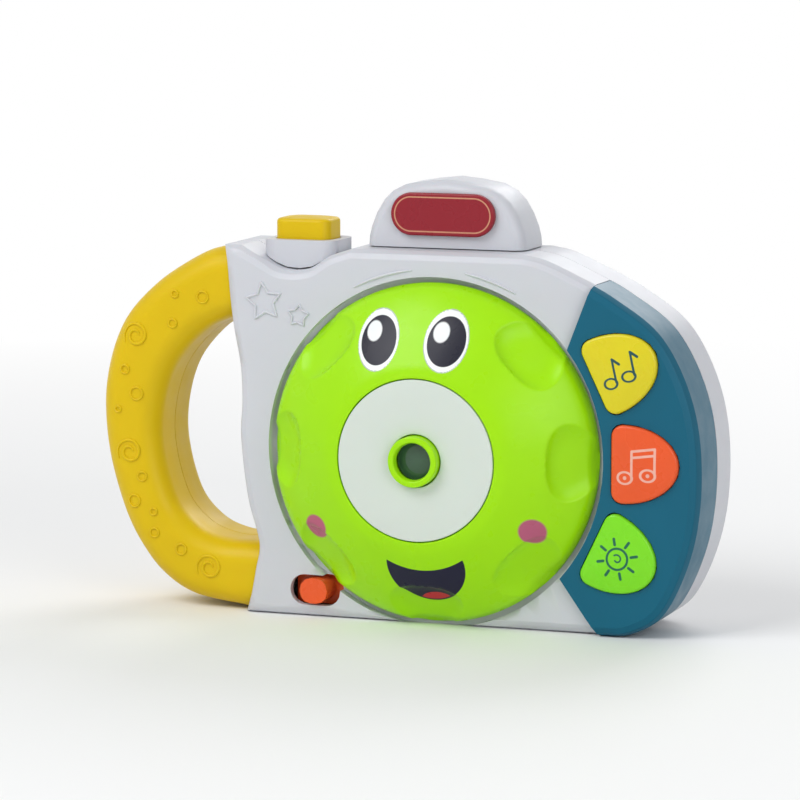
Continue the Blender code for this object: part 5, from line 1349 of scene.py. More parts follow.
@dataclass
class Cartridge:
    """The picture disc that turns behind the cover, its film, and the keyed core with the beam prism."""

    shop: Workshop
    windows: int = 8
    ring_radius: float = 12.0
    window_radius: float = 3.0
    rings: int = 40

    def build(self) -> None:
        """Makes the cartridge's pieces."""
        self.shop.carry("picture_disc", Slot.DISC, "disc", crease=30)
        self.shop.carry("disc_core", Slot.BLACK, "core")
        self.shop.carry("beam_prism", Slot.LENS, "core")
        self.build_film()

    def build_film(self) -> None:
        """The flat ring of film, with a small picture of a plain motif at each window."""
        box = NodeBox.of("film_ring")
        (x, _, z), outer = box.centre, box.size[0] / 2
        radii = np.linspace(2 * self.ring_radius - outer, outer, self.rings)
        front, rear = [np.stack([radii, np.full(len(radii), y)], axis=1) for y in (box.low[1], box.high[1])]
        profile = np.vstack([front, rear[::-1]])
        film = make_piece("film_ring_printed", [revolved(profile, (x, z), 360, closed=True)])
        step = 2 * math.pi / self.windows

        def local(px: Array, pz: Array) -> tuple[Array, Array, Array]:
            """Each point's window number, and its place about that window's middle.

            Args:
                px: Each point's x.
                pz: Each point's z.

            Returns:
                The number, and the places round the ring and outwards.
            """
            angle = np.arctan2(pz - z, px - x)
            number = np.round(angle / step)
            turned = angle - number * step
            radius = np.hypot(px - x, pz - z)
            return number % 4, radius * np.sin(turned), radius * np.cos(turned) - self.ring_radius

        def window(even: bool) -> Callable[[Array, Array], Array]:
            """The round windows with an even or an odd number."""
            def field(px: Array, pz: Array) -> Array:
                """The distance from the window's edge, or one where the number is the other kind."""
                number, u, v = local(px, pz)
                return np.where((number % 2 == 0) == even, np.hypot(u, v) - self.window_radius, 1.0)
            return field

        def light_motif(px: Array, pz: Array) -> Array:
            """A moon in one window in four and a star in another.

            Args:
                px: Each point's x.
                pz: Each point's z.

            Returns:
                The distance from the mark's edge.
            """
            number, u, v = local(px, pz)
            radius, angle = np.hypot(u, v), np.arctan2(v, u)
            moon = np.maximum(radius - 1.7, 1.5 - np.hypot(u - 0.9, v - 0.5))
            star = radius - 1.45 - 0.55 * np.cos(5 * (angle - math.pi / 2))
            return np.where(number == 0, moon, np.where(number == 1, star, 1.0))

        def pink_motif(px: Array, pz: Array) -> Array:
            """A flower in one window in four and a balloon in another.

            Args:
                px: Each point's x.
                pz: Each point's z.

            Returns:
                The distance from the mark's edge.
            """
            number, u, v = local(px, pz)
            radius, angle = np.hypot(u, v), np.arctan2(v, u)
            flower = np.maximum(radius - 1.5 - 0.4 * np.cos(6 * angle), 0.5 - radius)
            string = np.maximum(np.abs(u) - 0.12, np.abs(v + 1.4) - 0.8)
            balloon = np.minimum(np.hypot(u, v - 0.5) - 1.3, string)
            return np.where(number == 2, flower, np.where(number == 3, balloon, 1.0))

        for name, field in (
            ("window_warm", window(False)), ("window_cool", window(True)),
            ("motif_light", light_motif), ("motif_pink", pink_motif),
        ):
            write_field(film, name, field)
        self.shop.dress(film, Slot.FILM, "disc", ("film_ring",))


@dataclass
class PushButton:
    """A D-shaped button with its flat side towards the head, a crowned face and a printed symbol."""

    shop: Workshop
    node: str
    body: str
    slot: Slot
    symbol: Symbol
    angle: float
    inner: float = 48.2
    reach: float = 17.5
    half: float = 10.0
    corner: float = 3.0
    lip: float = 0.9
    lip_thickness: float = 1.0
    crown: float = 0.7
    edge: float = 0.8
    wall: float = 1.6
    tilt_share: float = 0.5

    def outline(self, axis: Array, grow: float = 0.0, count: int = 200) -> Array:
        """The D from the front: two rounded corners on the flat side and half an ellipse on the other.

        Args:
            axis: The head's axis, as x and z.
            grow: How much larger than the button.
            count: Points all round.

        Returns:
            Anticlockwise points.
        """
        near, far, half = self.inner - grow, self.inner + self.reach + grow, self.half + grow
        bulge = far - near - self.corner
        quarter = np.radians(np.linspace(90, 180, 18))
        top = self.corner * np.stack([1 + np.cos(quarter), np.sin(quarter) - 1], 1) + (near, half)
        bottom = np.stack([top[::-1, 0], -top[::-1, 1]], 1)
        a = np.radians(np.linspace(-86, 86, 120))
        side = np.stack([near + self.corner + bulge * np.cos(a), half * np.sin(a)], 1)
        flat = np.vstack([top, bottom, side, top[:1]])
        flat = evenly(flat, count + 1)[:-1]
        turn = math.radians(self.angle)
        spin = np.array([[math.cos(turn), math.sin(turn)], [-math.sin(turn), math.cos(turn)]])
        return flat @ spin + axis

    def build(self, axis: Array) -> None:
        """Makes the cap with its lip behind the shell, and prints its symbol.

        Args:
            axis: The head's axis, as x and z.
        """
        box = NodeBox.of(self.node)
        front, rear = box.low[1], box.high[1]
        lip_front = rear - self.lip_thickness
        outline = self.outline(axis)
        hollow = (self.wall, front + self.wall)
        cap = crowned(outline, front + self.crown, rear, self.edge, self.crown, 60, hollow)
        edges = [self.outline(axis, grow) for grow in (self.lip / 2, -self.wall / 2)]
        collar = band(*edges, lip_front, rear - 0.1)
        button = make_piece(f"{self.node}_cap", [cap, collar])
        middle = outline.mean(axis=0)
        write_field(button, "symbol", lambda x, z: self.symbol_field(x - middle[0], z - middle[1]))
        self.shop.dress(button, self.slot, self.body, (self.node,))

    def symbol_field(self, x: Array, z: Array) -> Array:
        """The printed symbol's distance field about the button's middle, tilted with the panel.

        Args:
            x: Distance right of the middle.
            z: Distance above the middle.

        Returns:
            The distance from the symbol's edge.
        """
        tilt = math.radians(self.angle * self.tilt_share)
        u = x * math.cos(tilt) + z * math.sin(tilt)
        v = z * math.cos(tilt) - x * math.sin(tilt)
        if self.symbol is Symbol.NOTE:
            return self.note(u, v)
        if self.symbol is Symbol.BEAMED_NOTES:
            return self.beamed_notes(u, v)
        return self.sun(u, v)

    def note(self, u: Array, v: Array) -> Array:
        """Two quavers side by side, each an outlined head, a stem and a flag.

        Args:
            u: Distance right of the symbol's middle.
            v: Distance above it.

        Returns:
            The distance from the symbol's edge.
        """
        shapes = []
        for shift, lift in ((-2.6, -0.4), (2.4, 0.6)):
            head = outline_of(ellipse_field(u, v, shift, lift - 2.6, 1.7, 1.3), 0.28)
            stem = line_field(u, v, (shift + 1.5, lift - 2.4), (shift + 1.5, lift + 3.4), 0.30)
            flag = line_field(u, v, (shift + 1.5, lift + 3.4), (shift + 3.1, lift + 1.9), 0.34)
            shapes += [head, stem, flag]
        return np.minimum.reduce(shapes)

    def beamed_notes(self, u: Array, v: Array) -> Array:
        """Two outlined heads, their stems and a double-edged beam.

        Args:
            u: Distance right of the symbol's middle.
            v: Distance above it.

        Returns:
            The distance from the symbol's edge.
        """
        middles = ((-3.6, -3.2), (2.4, -2.4))
        heads = [outline_of(ellipse_field(u, v, s, h, 1.9, 1.5), 0.30) for s, h in middles]
        stems = [line_field(u, v, (s, h), (s, h + 6.6), 0.32) for s, h in ((-1.8, -3.0), (4.2, -2.2))]
        beams = [line_field(u, v, (-1.8, lift), (4.2, lift + 0.8), 0.32) for lift in (3.6, 2.0)]
        dots = [disc_field(u, v, s, h, 0.5) for s, h in middles]
        return np.minimum.reduce(heads + stems + beams + dots)

    def sun(self, u: Array, v: Array) -> Array:
        """A ring with a curl inside it and eight short rays.

        Args:
            u: Distance right of the symbol's middle.
            v: Distance above it.

        Returns:
            The distance from the symbol's edge.
        """
        shapes = [outline_of(disc_field(u, v, 0, 0, 2.7), 0.30)]
        radius, angle = np.hypot(u, v), np.arctan2(v, u)
        curl = np.abs(radius - (0.9 + 0.35 * angle / math.pi)) - 0.22
        shapes.append(np.where(np.abs(angle) < 2.6, curl, 1.0))
        for a in np.radians(np.arange(8) * 45 + 22.5):
            ray = np.array([math.cos(a), math.sin(a)])
            shapes.append(line_field(u, v, 3.7 * ray, 5.2 * ray, 0.36))
        return np.minimum.reduce(shapes)


@dataclass
class ControlPanel:
    """The teal crescent with its three buttons, their springs and the board behind them."""

    shop: Workshop
    button_step: float = 25.5
    travel: float = 1.5
    turns: int = 6

    def build(self, axis: Array) -> None:
        """Makes the panel's pieces.

        Args:
            axis: The head's axis, as x and z.
        """
        BodyOutline().smooth(self.shop.carry("control_panel", Slot.TEAL), axis)
        buttons = (
            ("music", Slot.BUTTON_YELLOW, Symbol.NOTE, self.button_step),
            ("disco", Slot.ORANGE, Symbol.BEAMED_NOTES, 0.0),
            ("laughter", Slot.BUTTON_GREEN, Symbol.SUN, -self.button_step),
        )
        for name, slot, symbol, angle in buttons:
            PushButton(self.shop, f"{name}_button", name, slot, symbol, angle).build(axis)
            self.shop.spring(f"{name}_spring", 1, self.turns, f"{name}_press", self.travel)
        self.shop.carry("control_board", Slot.BOARD)


@dataclass(frozen=True)
class BodyOutline:
    """The body's outline from the front, which the CAD shells follow in short straight steps.

    Its three runs are smooth curves through the points that the shells are laid out from, counted from the
    head's axis. The shells' own steps are those curves sampled twice between neighbouring points. A recess is
    a circle about that axis, which the front shell follows in as many steps as it has sides.
    """

    side: tuple[tuple[float, float], ...] = (
        (44.7, -44.6), (53.0, -43.7), (62.0, -37.5), (69.0, -21.0), (71.0, -2.0), (68.5, 16.0), (60.5, 32.0),
        (48.0, 41.5), (37.0, 47.0), (29.0, 50.4), (23.0, 51.6),
    )
    scoop: tuple[tuple[float, float], ...] = (
        (-23.0, 51.6), (-29.0, 49.533), (-35.0, 46.02), (-42.0, 45.71), (-48.0, 48.5), (-53.7, 51.6),
    )
    left: tuple[tuple[float, float], ...] = (
        (-57.6, 47.1), (-56.8, 38.0), (-55.8, 30.0), (-54.0, 20.0), (-53.6, 10.7), (-54.0, 1.3),
        (-52.2, -14.0), (-49.0, -26.1), (-50.0, -33.0), (-51.3, -40.1),
    )
    fineness: int = 8
    cuts: int = 4
    reach: float = 3.0
    shortest: float = 1.2
    recess: float = 0.0
    recess_sides: int = 40

    def shifts(self, places: Array) -> tuple[Array, Array]:
        """How far the smooth curve stands off the straight steps beside each place.

        The place's nearest point on the steps, which lies a share of the way along one of them, is set
        against the curve's point at the same share.

        Args:
            places: (x, z) points from the head's axis.

        Returns:
            The step from one to the other, and the place's distance from the steps.
        """
        best = np.full(len(places), np.inf)
        shift = np.zeros_like(places)
        curves = [catmull_rom(run, 2 * self.fineness) for run in (self.side, self.scoop, self.left)]
        if self.recess:
            around = np.linspace(0, 2 * math.pi, self.recess_sides * self.fineness + 1)
            curves.append(self.recess * np.stack([np.cos(around), np.sin(around)], axis=1))
        for fine in curves:
            coarse = fine[::self.fineness]
            start, along = coarse[:-1], np.diff(coarse, axis=0)
            share = np.sum((places[:, None] - start) * along, axis=2) / np.sum(along**2, axis=1)
            share = np.clip(share, 0, 1)
            near = start + share[..., None] * along
            away = np.linalg.norm(places[:, None] - near, axis=2)
            step = away.argmin(axis=1)
            rows = np.arange(len(places))
            on_curve = (step + share[rows, step]) * self.fineness
            number = np.arange(len(fine))
            curve = np.stack([np.interp(on_curve, number, fine[:, k]) for k in (0, 1)], axis=1)
            closer = away[rows, step] < best
            best[closer] = away[rows, step][closer]
            shift[closer] = (curve - near[rows, step])[closer]
        return shift, best

    def smooth(self, piece: bpy.types.Object, axis: Array) -> bpy.types.Object:
        """Splits a piece's edges along the outline and moves what lies beside it out to the smooth curve.

        Args:
            piece: A copy of a CAD node.
            axis: The head's axis, as x and z.

        Returns:
            The piece.
        """
        bm = bmesh.new()
        bm.from_mesh(piece.data)
        places = np.array([(v.co.x, v.co.z) for v in bm.verts]) / MM - axis
        near = self.shifts(places)[1] < self.reach
        long = [
            e for e in bm.edges
            if near[e.verts[0].index] and near[e.verts[1].index]
            and np.linalg.norm(places[e.verts[0].index] - places[e.verts[1].index]) > self.shortest
        ]
        bmesh.ops.subdivide_edges(bm, edges=long, cuts=self.cuts, use_grid_fill=True)
        bmesh.ops.triangulate(bm, faces=[f for f in bm.faces if len(f.verts) > 4])
        bm.to_mesh(piece.data)
        bm.free()
        places = vectors(piece.data)
        shift, away = self.shifts(places[:, [0, 2]] / MM - axis)
        shift[away > self.reach] = 0
        low, high = places.min(axis=0), places.max(axis=0)
        places[:, [0, 2]] += shift * MM
        places = np.clip(places, low, high)
        piece.data.vertices.foreach_set("co", places.astype(np.float32).ravel())
        piece.data.update()
        return piece


@dataclass
class Housing:
    """The two white shells with their moulded reliefs, the viewfinder housing and its red plaque."""

    shop: Workshop
    relief: float = 0.45
    line: float = 0.75
    arch_radius: float = 47.2
    head_clearance: float = 1.5
    plaque_line: float = 1.1

    def build(self, axis: Array) -> None:
        """Makes the housing's pieces.

        Args:
            axis: The head's axis, as x and z.
        """
        recess = NodeBox.of("head_cover").size[0] / 2 + self.head_clearance
        BodyOutline(recess=recess).smooth(self.shop.carry("front_shell", Slot.SHELL), axis)
        BodyOutline().smooth(self.shop.carry("rear_shell", Slot.SHELL), axis)
        for node in ("viewfinder_housing", "shutter_seat"):
            self.shop.carry(node, Slot.SHELL)
        self.build_reliefs(axis)
        self.build_plaque()

    def build_reliefs(self, axis: Array) -> None:
        """Two stars and two arched lines raised on the front face.

        Args:
            axis: The head's axis, as x and z.
        """
        face = NodeBox.of("front_shell").low[1]
        large = star(axis + (-46.5, 37.3), 5.0, 0.48, math.radians(98))
        small = star(axis + (-37.0, 34.0), 2.9, 0.40, math.radians(84))
        lines = [ridge(large, face, self.line, self.relief), ridge(small, face, self.line * 0.8, self.relief)]
        for first, last in ((97, 118), (62, 80)):
            a = np.radians(np.linspace(first, last, 40))
            arch = axis + self.arch_radius * np.stack([np.cos(a), np.sin(a)], axis=1)
            lines.append(ridge(arch, face, self.line, self.relief, closed=False))
        relief = make_piece("shell_reliefs", lines)
        self.shop.dress(relief, Slot.SHELL, "housing")

    def build_plaque(self) -> None:
        """The bare red plaque with a thin gold line inside its edge."""
        box = NodeBox.of("badge_plate")
        (x, _, z), (width, _, height) = box.centre, box.size
        end = height / 2
        straight = width / 2 - end
        a = np.linspace(-math.pi / 2, math.pi / 2, 40)
        right = np.stack([straight + end * np.cos(a), end * np.sin(a)], axis=1)
        outline = np.vstack([right, -right]) + (x, z)
        plaque = make_piece("plaque", [crowned(outline, box.low[1], box.high[1], 0.5, 0.0, 60)])
        ends = ((x - straight, z), (x + straight, z))
        write_field(
            plaque, "edge_line",
            lambda px, pz: outline_of(line_field(px, pz, *ends, end - self.plaque_line), 0.17),
        )
        self.shop.dress(plaque, Slot.PLAQUE, "housing", ("badge_plate",))


@dataclass
class Handle:
    """The C-shaped handle's two yellow halves, its screw wells, and the curls and bubbles on its face."""

    shop: Workshop
    reach: float = 93.9
    outer_root: float = 57.0
    finger_root: float = 52.0
    grip: float = 16.0
    foot: tuple[float, float] = (50.8, 48.0)
    rounding: float = 6.0
    samples: int = 170
    well_radius: float = 3.1
    well_floor: float = 12.0
    well_chamfer: float = 0.5
    curl: float = 3.7
    relief: float = 0.5
    line: float = 0.9
    outer_curve: tuple[tuple[float, float], ...] = (
        (0.0, 51.0), (0.176, 49.8), (0.378, 46.0), (0.595, 40.5), (0.797, 33.0), (0.914, 25.0),
        (0.986, 15.0), (1.0, 5.0), (0.959, -7.0), (0.849, -20.3), (0.716, -29.5), (0.541, -36.9),
        (0.297, -41.8), (-0.097, -44.0),
    )
    finger_curve: tuple[tuple[float, float], ...] = (
        (0.0, 32.5), (0.250, 31.8), (0.577, 27.0), (0.885, 16.5), (1.0, 0.9), (0.865, -15.0),
        (0.615, -23.0), (0.308, -26.2), (0.0, -26.5),
    )
    curls: tuple[tuple[float, float], ...] = ((-83.2, 26.9), (-85.2, -4.0), (-62.8, -33.6))
    bubbles: tuple[tuple[float, float, float], ...] = (
        (0.10, 1.5, 1.5), (0.15, -3.0, 0.9), (0.20, 2.6, 1.1), (0.36, -2.4, 1.1), (0.40, 2.2, 1.7),
        (0.445, -2.6, 0.8), (0.60, 2.0, 1.2), (0.645, -2.2, 1.6), (0.69, 1.8, 0.9), (0.73, -1.0, 1.2),
        (0.80, 1.6, 1.4),
    )

    def build(self, axis: Array) -> None:
        """Makes the handle's pieces.

        Args:
            axis: The head's axis, as x and z.
        """
        outer, hole = self.curves(axis)
        for node, screws in (("handle_front", ()), ("handle_rear", ("handle_screw_1", "handle_screw_2"))):
            half = make_piece(f"{node}_half", [self.half(outer, hole, *self.depths(node))])
            if screws:
                bored(half, [self.well(screw) for screw in screws])
            self.shop.dress(half, Slot.YELLOW, "housing", (node,))
        self.build_reliefs(axis, outer, hole)

    def curves(self, axis: Array) -> tuple[Array, Array]:
        """The outer curve and the finger hole's, from the top down, each at even steps of its length.

        A curve's points lie at a share of the way from where it leaves the body to its outermost point, and
        both run on into the body at the foot.

        Args:
            axis: The head's axis, as x and z.

        Returns:
            The two curves' (x, z) points.
        """
        curves = []
        for root, depth, shares, foot in (
            (self.outer_root, self.reach - self.outer_root, self.outer_curve, self.foot[0]),
            (self.finger_root, self.reach - self.grip - self.finger_root, self.finger_curve, self.foot[1]),
        ):
            line = catmull_rom([(-root - share * depth, z) for share, z in shares], 12)
            line = np.vstack([line, [[-foot, line[-1, 1]]]])
            curves.append(evenly(line, self.samples) + axis)
        return curves[0], curves[1]

    def depths(self, node: str) -> tuple[float, float]:
        """The depths of a half's face and of its side of the seam."""
        box = NodeBox.of(node)
        return (box.low[1], box.high[1]) if node == "handle_front" else (box.high[1], box.low[1])

    def half(self, outer: Array, hole: Array, face: float, seam: float) -> Surface:
        """One half of the handle.

        Its section lies on the line from a point of the outer curve to its partner on the hole's curve. It
        leaves the seam, follows a quarter circle to the face, runs level, and goes back round another to the
        seam.

        Args:
            outer: The outer curve.
            hole: The finger hole's curve.
            face: Depth of the level face.
            seam: Depth of the seam.

        Returns:
            The closed half.
        """
        turn = np.linspace(0, math.pi / 2, 10)
        back = math.copysign(self.rounding, seam - face)
        rim = self.rounding * (1 - np.cos(turn))
        rim_depth = face + back * (1 - np.sin(turn))
        level = np.linspace(0, 1, 8)[1:-1]
        fixed = np.concatenate([[0.0], rim, self.rounding * (1 - 2 * level), -rim[::-1], [0.0]])
        share = np.concatenate([np.zeros(len(rim) + 1), level, np.ones(len(rim) + 1)])
        depth = np.concatenate([[seam], rim_depth, np.full(len(level), face), rim_depth[::-1], [seam]])
        across = hole - outer
        width = np.linalg.norm(across, axis=1, keepdims=True)
        place = outer[:, None] + (across / width)[:, None] * (fixed + share * width)[..., None]
        points = np.stack([place[..., 0], np.broadcast_to(depth, place.shape[:2]), place[..., 1]], axis=-1)
        ends = [np.broadcast_to(row.mean(axis=0), (1, *row.shape)) for row in (points[0], points[-1])]
        return surface(np.concatenate([ends[0], points, ends[1]]))

    def well(self, screw: str) -> bpy.types.Object:
        """What is taken out above a screw's head: a round well with a chamfered mouth.

        Args:
            screw: The screw's CAD node.

        Returns:
            The cutter.
        """
        mouth = NodeBox.of("handle_rear").high[1]
        floor, narrow, wide = self.well_floor, self.well_radius, self.well_radius + self.well_chamfer
        profile = np.array([
            (0.0, floor), (narrow, floor), (narrow, mouth - 0.4), (wide, mouth + 0.1), (wide, mouth + 2.0),
            (0.0, mouth + 2.0),
        ])
        return make_piece(f"{screw}_well", [revolved(profile, NodeBox.of(screw).centre[[0, 2]], 64)])

    def build_reliefs(self, axis: Array, outer: Array, hole: Array) -> None:
        """The curls and the bubbles between them, raised on the front half and following its rounding.

        Args:
            axis: The head's axis, as x and z.
            outer: The outer curve.
            hole: The finger hole's curve.
        """
        face = NodeBox.of("handle_front").low[1]
        edges = np.vstack([outer, hole])

        def depth(points: Array) -> Array:
            """The face's depth: level, and along a quarter circle within the rounding's reach of an edge.

            Args:
                points: Rows by columns of (x, z).

            Returns:
                The depth at each.
            """
            near = np.linalg.norm(points[..., None, :] - edges, axis=-1).min(axis=-1)
            short = self.rounding - np.clip(near, 0, self.rounding)
            return face + self.rounding - np.sqrt(self.rounding**2 - short**2)

        lines = [
            ridge(spiral(axis + place, self.curl), depth, self.line, self.relief, closed=False)
            for place in self.curls
        ]
        for share, off, radius in self.bubbles:
            number = int(share * (self.samples - 1))
            across = hole[number] - outer[number]
            middle = (hole[number] + outer[number]) / 2 + off * across / np.linalg.norm(across)
            lines.append(ridge(circle(middle, radius, 40), depth, self.line * 0.7, self.relief * 0.8))
        self.shop.dress(make_piece("handle_reliefs", lines), Slot.YELLOW, "housing")


@dataclass
class Shutter:
    """The yellow shutter button on its seat, with its spring and switch."""

    shop: Workshop
    travel: float = 2.5
    turns: int = 5
    corner: float = 2.6
    height: float = 7.6
    wall: float = 1.4
    edge: float = 1.0
    crown: float = 0.5
    stem: float = 1.8

    def build(self) -> None:
        """Makes the shutter's pieces."""
        self.build_button()
        self.shop.spring("shutter_spring", 2, self.turns, "shutter_press", self.travel)
        self.shop.carry("shutter_switch", Slot.BLACK)

    def build_button(self) -> None:
        """The button: a hollow rounded block with a crowned top, and its stem down to the switch.

        It is laid out facing the front, with its height as its depth, and then turned up.
        """
        box = NodeBox.of("shutter_button")
        (x, y, _), (width, length, _) = box.centre, box.size
        quarter = np.radians(np.linspace(0, 90, 14))
        parts = []
        for number, (sx, sy) in enumerate(((1, 1), (-1, 1), (-1, -1), (1, -1))):
            a = quarter + number * math.pi / 2
            middle = (x + sx * (width / 2 - self.corner), y + sy * (length / 2 - self.corner))
            parts.append(middle + self.corner * np.stack([np.cos(a), np.sin(a)], axis=1))
        top = -box.high[2]
        hollow = (self.wall, top + self.wall)
        block = crowned(
            np.vstack(parts), top + self.crown, top + self.height, self.edge, self.crown, 16, hollow
        )
        start, end = top + self.wall / 2, -box.low[2]
        sides = [(0.0, start), (self.stem, start), (self.stem, end), (0.0, end)]
        stem = revolved(filleted(sides, 0.4), (x, y), 40)
        button = make_piece("shutter_button_block", [upright(block), upright(stem)])
        self.shop.dress(button, Slot.YELLOW, "shutter", ("shutter_button",))


@dataclass
class PowerSwitch:
    """The orange knob of the power switch, and the switch behind it."""

    shop: Workshop

    def build(self) -> None:
        """Makes the switch's pieces."""
        plain = self.shop.finishes.named(KNOB_ORANGE)
        self.shop.carry("power_switch_knob", Slot.ORANGE, "power", plain)
        self.shop.carry("power_switch_body", Slot.BLACK)


@dataclass
class Interior:
    """Lamp, boards, speaker, leads, detent and battery bay."""

    shop: Workshop

    def build(self) -> None:
        """Makes the inner pieces."""
        for node, slot in (
            ("lamp_holder", Slot.BLACK), ("condenser_lens", Slot.LENS), ("lamp", Slot.LED),
            ("lamp_lead", Slot.LEAD_WHITE), ("detent_spring", Slot.SPRING), ("main_board", Slot.BOARD),
            ("contact_plus", Slot.SPRING), ("contact_minus", Slot.SPRING), ("contact_bridge", Slot.SPRING),
            ("battery_lead", Slot.LEAD_RED), ("speaker", Slot.SPEAKER), ("speaker_lead", Slot.LEAD_RED),
        ):
            self.shop.carry(node, slot)
        for node, turned_round in (("battery_1", False), ("battery_2", True)):
            box = NodeBox.of(node)
            sleeve = CellSleeve(f"{node}_sleeve", box.centre[0], turned_round, box.size[0] / 2)
            self.shop.carry(node, Slot.CELL, material=self.shop.finishes.named(sleeve))
        for number in (1, 2):
            self.shop.spring(f"contact_spring_{number}", 0, 4)
        self.shop.carry("battery_door", Slot.SHELL, "door")


@dataclass
class Screws:
    """Every screw: a pan head with a cross recess, and a threaded shank that ends in a point."""

    shop: Workshop
    pitch: float = 1.1
    thread: float = 0.22
    arm_half: float = 0.14
    arm_reach: float = 0.54
    recess: float = 0.7

    def build(self) -> None:
        """Makes the screws, each in its node's place."""
        for node in sorted(self.shop.frame["nodes"]):
            if "_screw" in node:
                body = "door" if node == "battery_door_screw" else "housing"
                self.shop.dress(self.screw(node), Slot.SCREW, body, (node,))

    def screw(self, node: str) -> bpy.types.Object:
        """Makes one screw to its node's measures, which way round its node's widest points tell.

        Args:
            node: The CAD node.

        Returns:
            The screw.
        """
        box = NodeBox.of(node)
        mesh = self.shop.frame["nodes"][node].data
        places = vectors(mesh) / MM
        axis = box.centre[[0, 2]]
        radii, depths = np.linalg.norm(places[:, [0, 2]] - axis, axis=1), places[:, 1]
        radius = radii.max()
        wide = depths[radii > 0.95 * radius]
        rearward = wide.mean() > box.centre[1]
        top, end = (box.high[1], box.low[1]) if rearward else (box.low[1], box.high[1])
        under = wide[np.argmin(np.abs(wide - end))]
        beyond = np.abs(depths - end) < np.abs(under - end) - 0.3
        shank = radii[beyond].max()
        shapes = [self.head(axis, radius, top, under), self.shank(axis, shank, under, end)]
        return make_piece(f"{node}_cross", shapes, crease=42)

    def head(self, axis: Array, radius: float, top: float, under: float) -> Surface:
        """The head: a turned pan with a cross pressed into its top.

        A point of the top sinks by the recess's share of the head where it lies within an arm's half width
        and reach, with a short slope at the arm's sides.

        Args:
            axis: The screw's axis, as x and z.
            radius: The head's radius.
            top: Depth of its top.
            under: Depth of its underside.

        Returns:
            The closed head.
        """
        flat = np.stack([np.linspace(0, 0.66, 24), np.ones(24)], axis=1)
        rim = catmull_rom([(0.66, 1.0), (0.86, 0.90), (0.97, 0.62), (1.0, 0.30)], 4)[1:]
        profile = np.vstack([flat, rim, [(1.0, 0.0), (0.3, 0.0), (0.0, 0.0)]])
        profile = np.stack([profile[:, 0] * radius, under + profile[:, 1] * (top - under)], axis=1)
        points, faces = revolved(profile, axis, 72)
        u, v = np.abs(points[:, 0] - axis[0]) / radius, np.abs(points[:, 2] - axis[1]) / radius
        in_arm = np.clip((self.arm_half - np.minimum(u, v)) / 0.05, 0, 1)
        in_reach = np.clip((self.arm_reach - np.maximum(u, v)) / 0.08, 0, 1)
        points[:, 1] -= in_arm * in_reach * self.recess * (points[:, 1] - under)
        return points, faces

    def shank(self, axis: Array, radius: float, under: float, end: float) -> Surface:
        """The shank: its radius rises to a ridge once a pitch as it goes round, and tapers to a point.

        Args:
            axis: The screw's axis, as x and z.
            radius: Radius over the thread.
            under: Depth of the head's underside.
            end: Depth of the point.

        Returns:
            The closed shank.
        """
        length = abs(end - under)
        rows = int(length / self.pitch * 9)
        along = np.linspace(0, length, rows)[:, None]
        angle = (np.arange(30) * 2 * math.pi / 30)[None]
        turn = (along / self.pitch + angle / (2 * math.pi)) % 1
        rise = np.clip(1 - np.abs(turn - 0.5) / 0.3, 0, 1) * np.clip(along / self.pitch, 0, 1)
        taper = np.clip((length - along) / (1.2 * radius), 0, 1)
        away = radius * (1 - self.thread + self.thread * rise) * taper
        depth = np.broadcast_to(under + along * math.copysign(1, end - under), away.shape)
        points = np.stack([axis[0] + away * np.cos(angle), depth, axis[1] + away * np.sin(angle)], axis=-1)
        first = np.broadcast_to(points[0].mean(axis=0), (1, *points[0].shape))
        return surface(np.concatenate([first, points]))


def seen_rays(tree: bpy.types.NodeTree) -> bpy.types.NodeSocket:
    """Tells the rays that the camera sent, also by way of gloss or glass, from the rest.

    Args:
        tree: The material's or the world's nodes.

    Returns:
        One for such rays and zero for the rest.
    """
    path = tree.nodes.new("ShaderNodeLightPath")
    seen = path.outputs["Is Camera Ray"]
    for name in ("Is Glossy Ray", "Is Transmission Ray"):
        either = tree.nodes.new("ShaderNodeMath")
        either.operation = "MAXIMUM"
        tree.links.new(seen, either.inputs[0])
        tree.links.new(path.outputs[name], either.inputs[1])
        seen = either.outputs[0]
    return seen


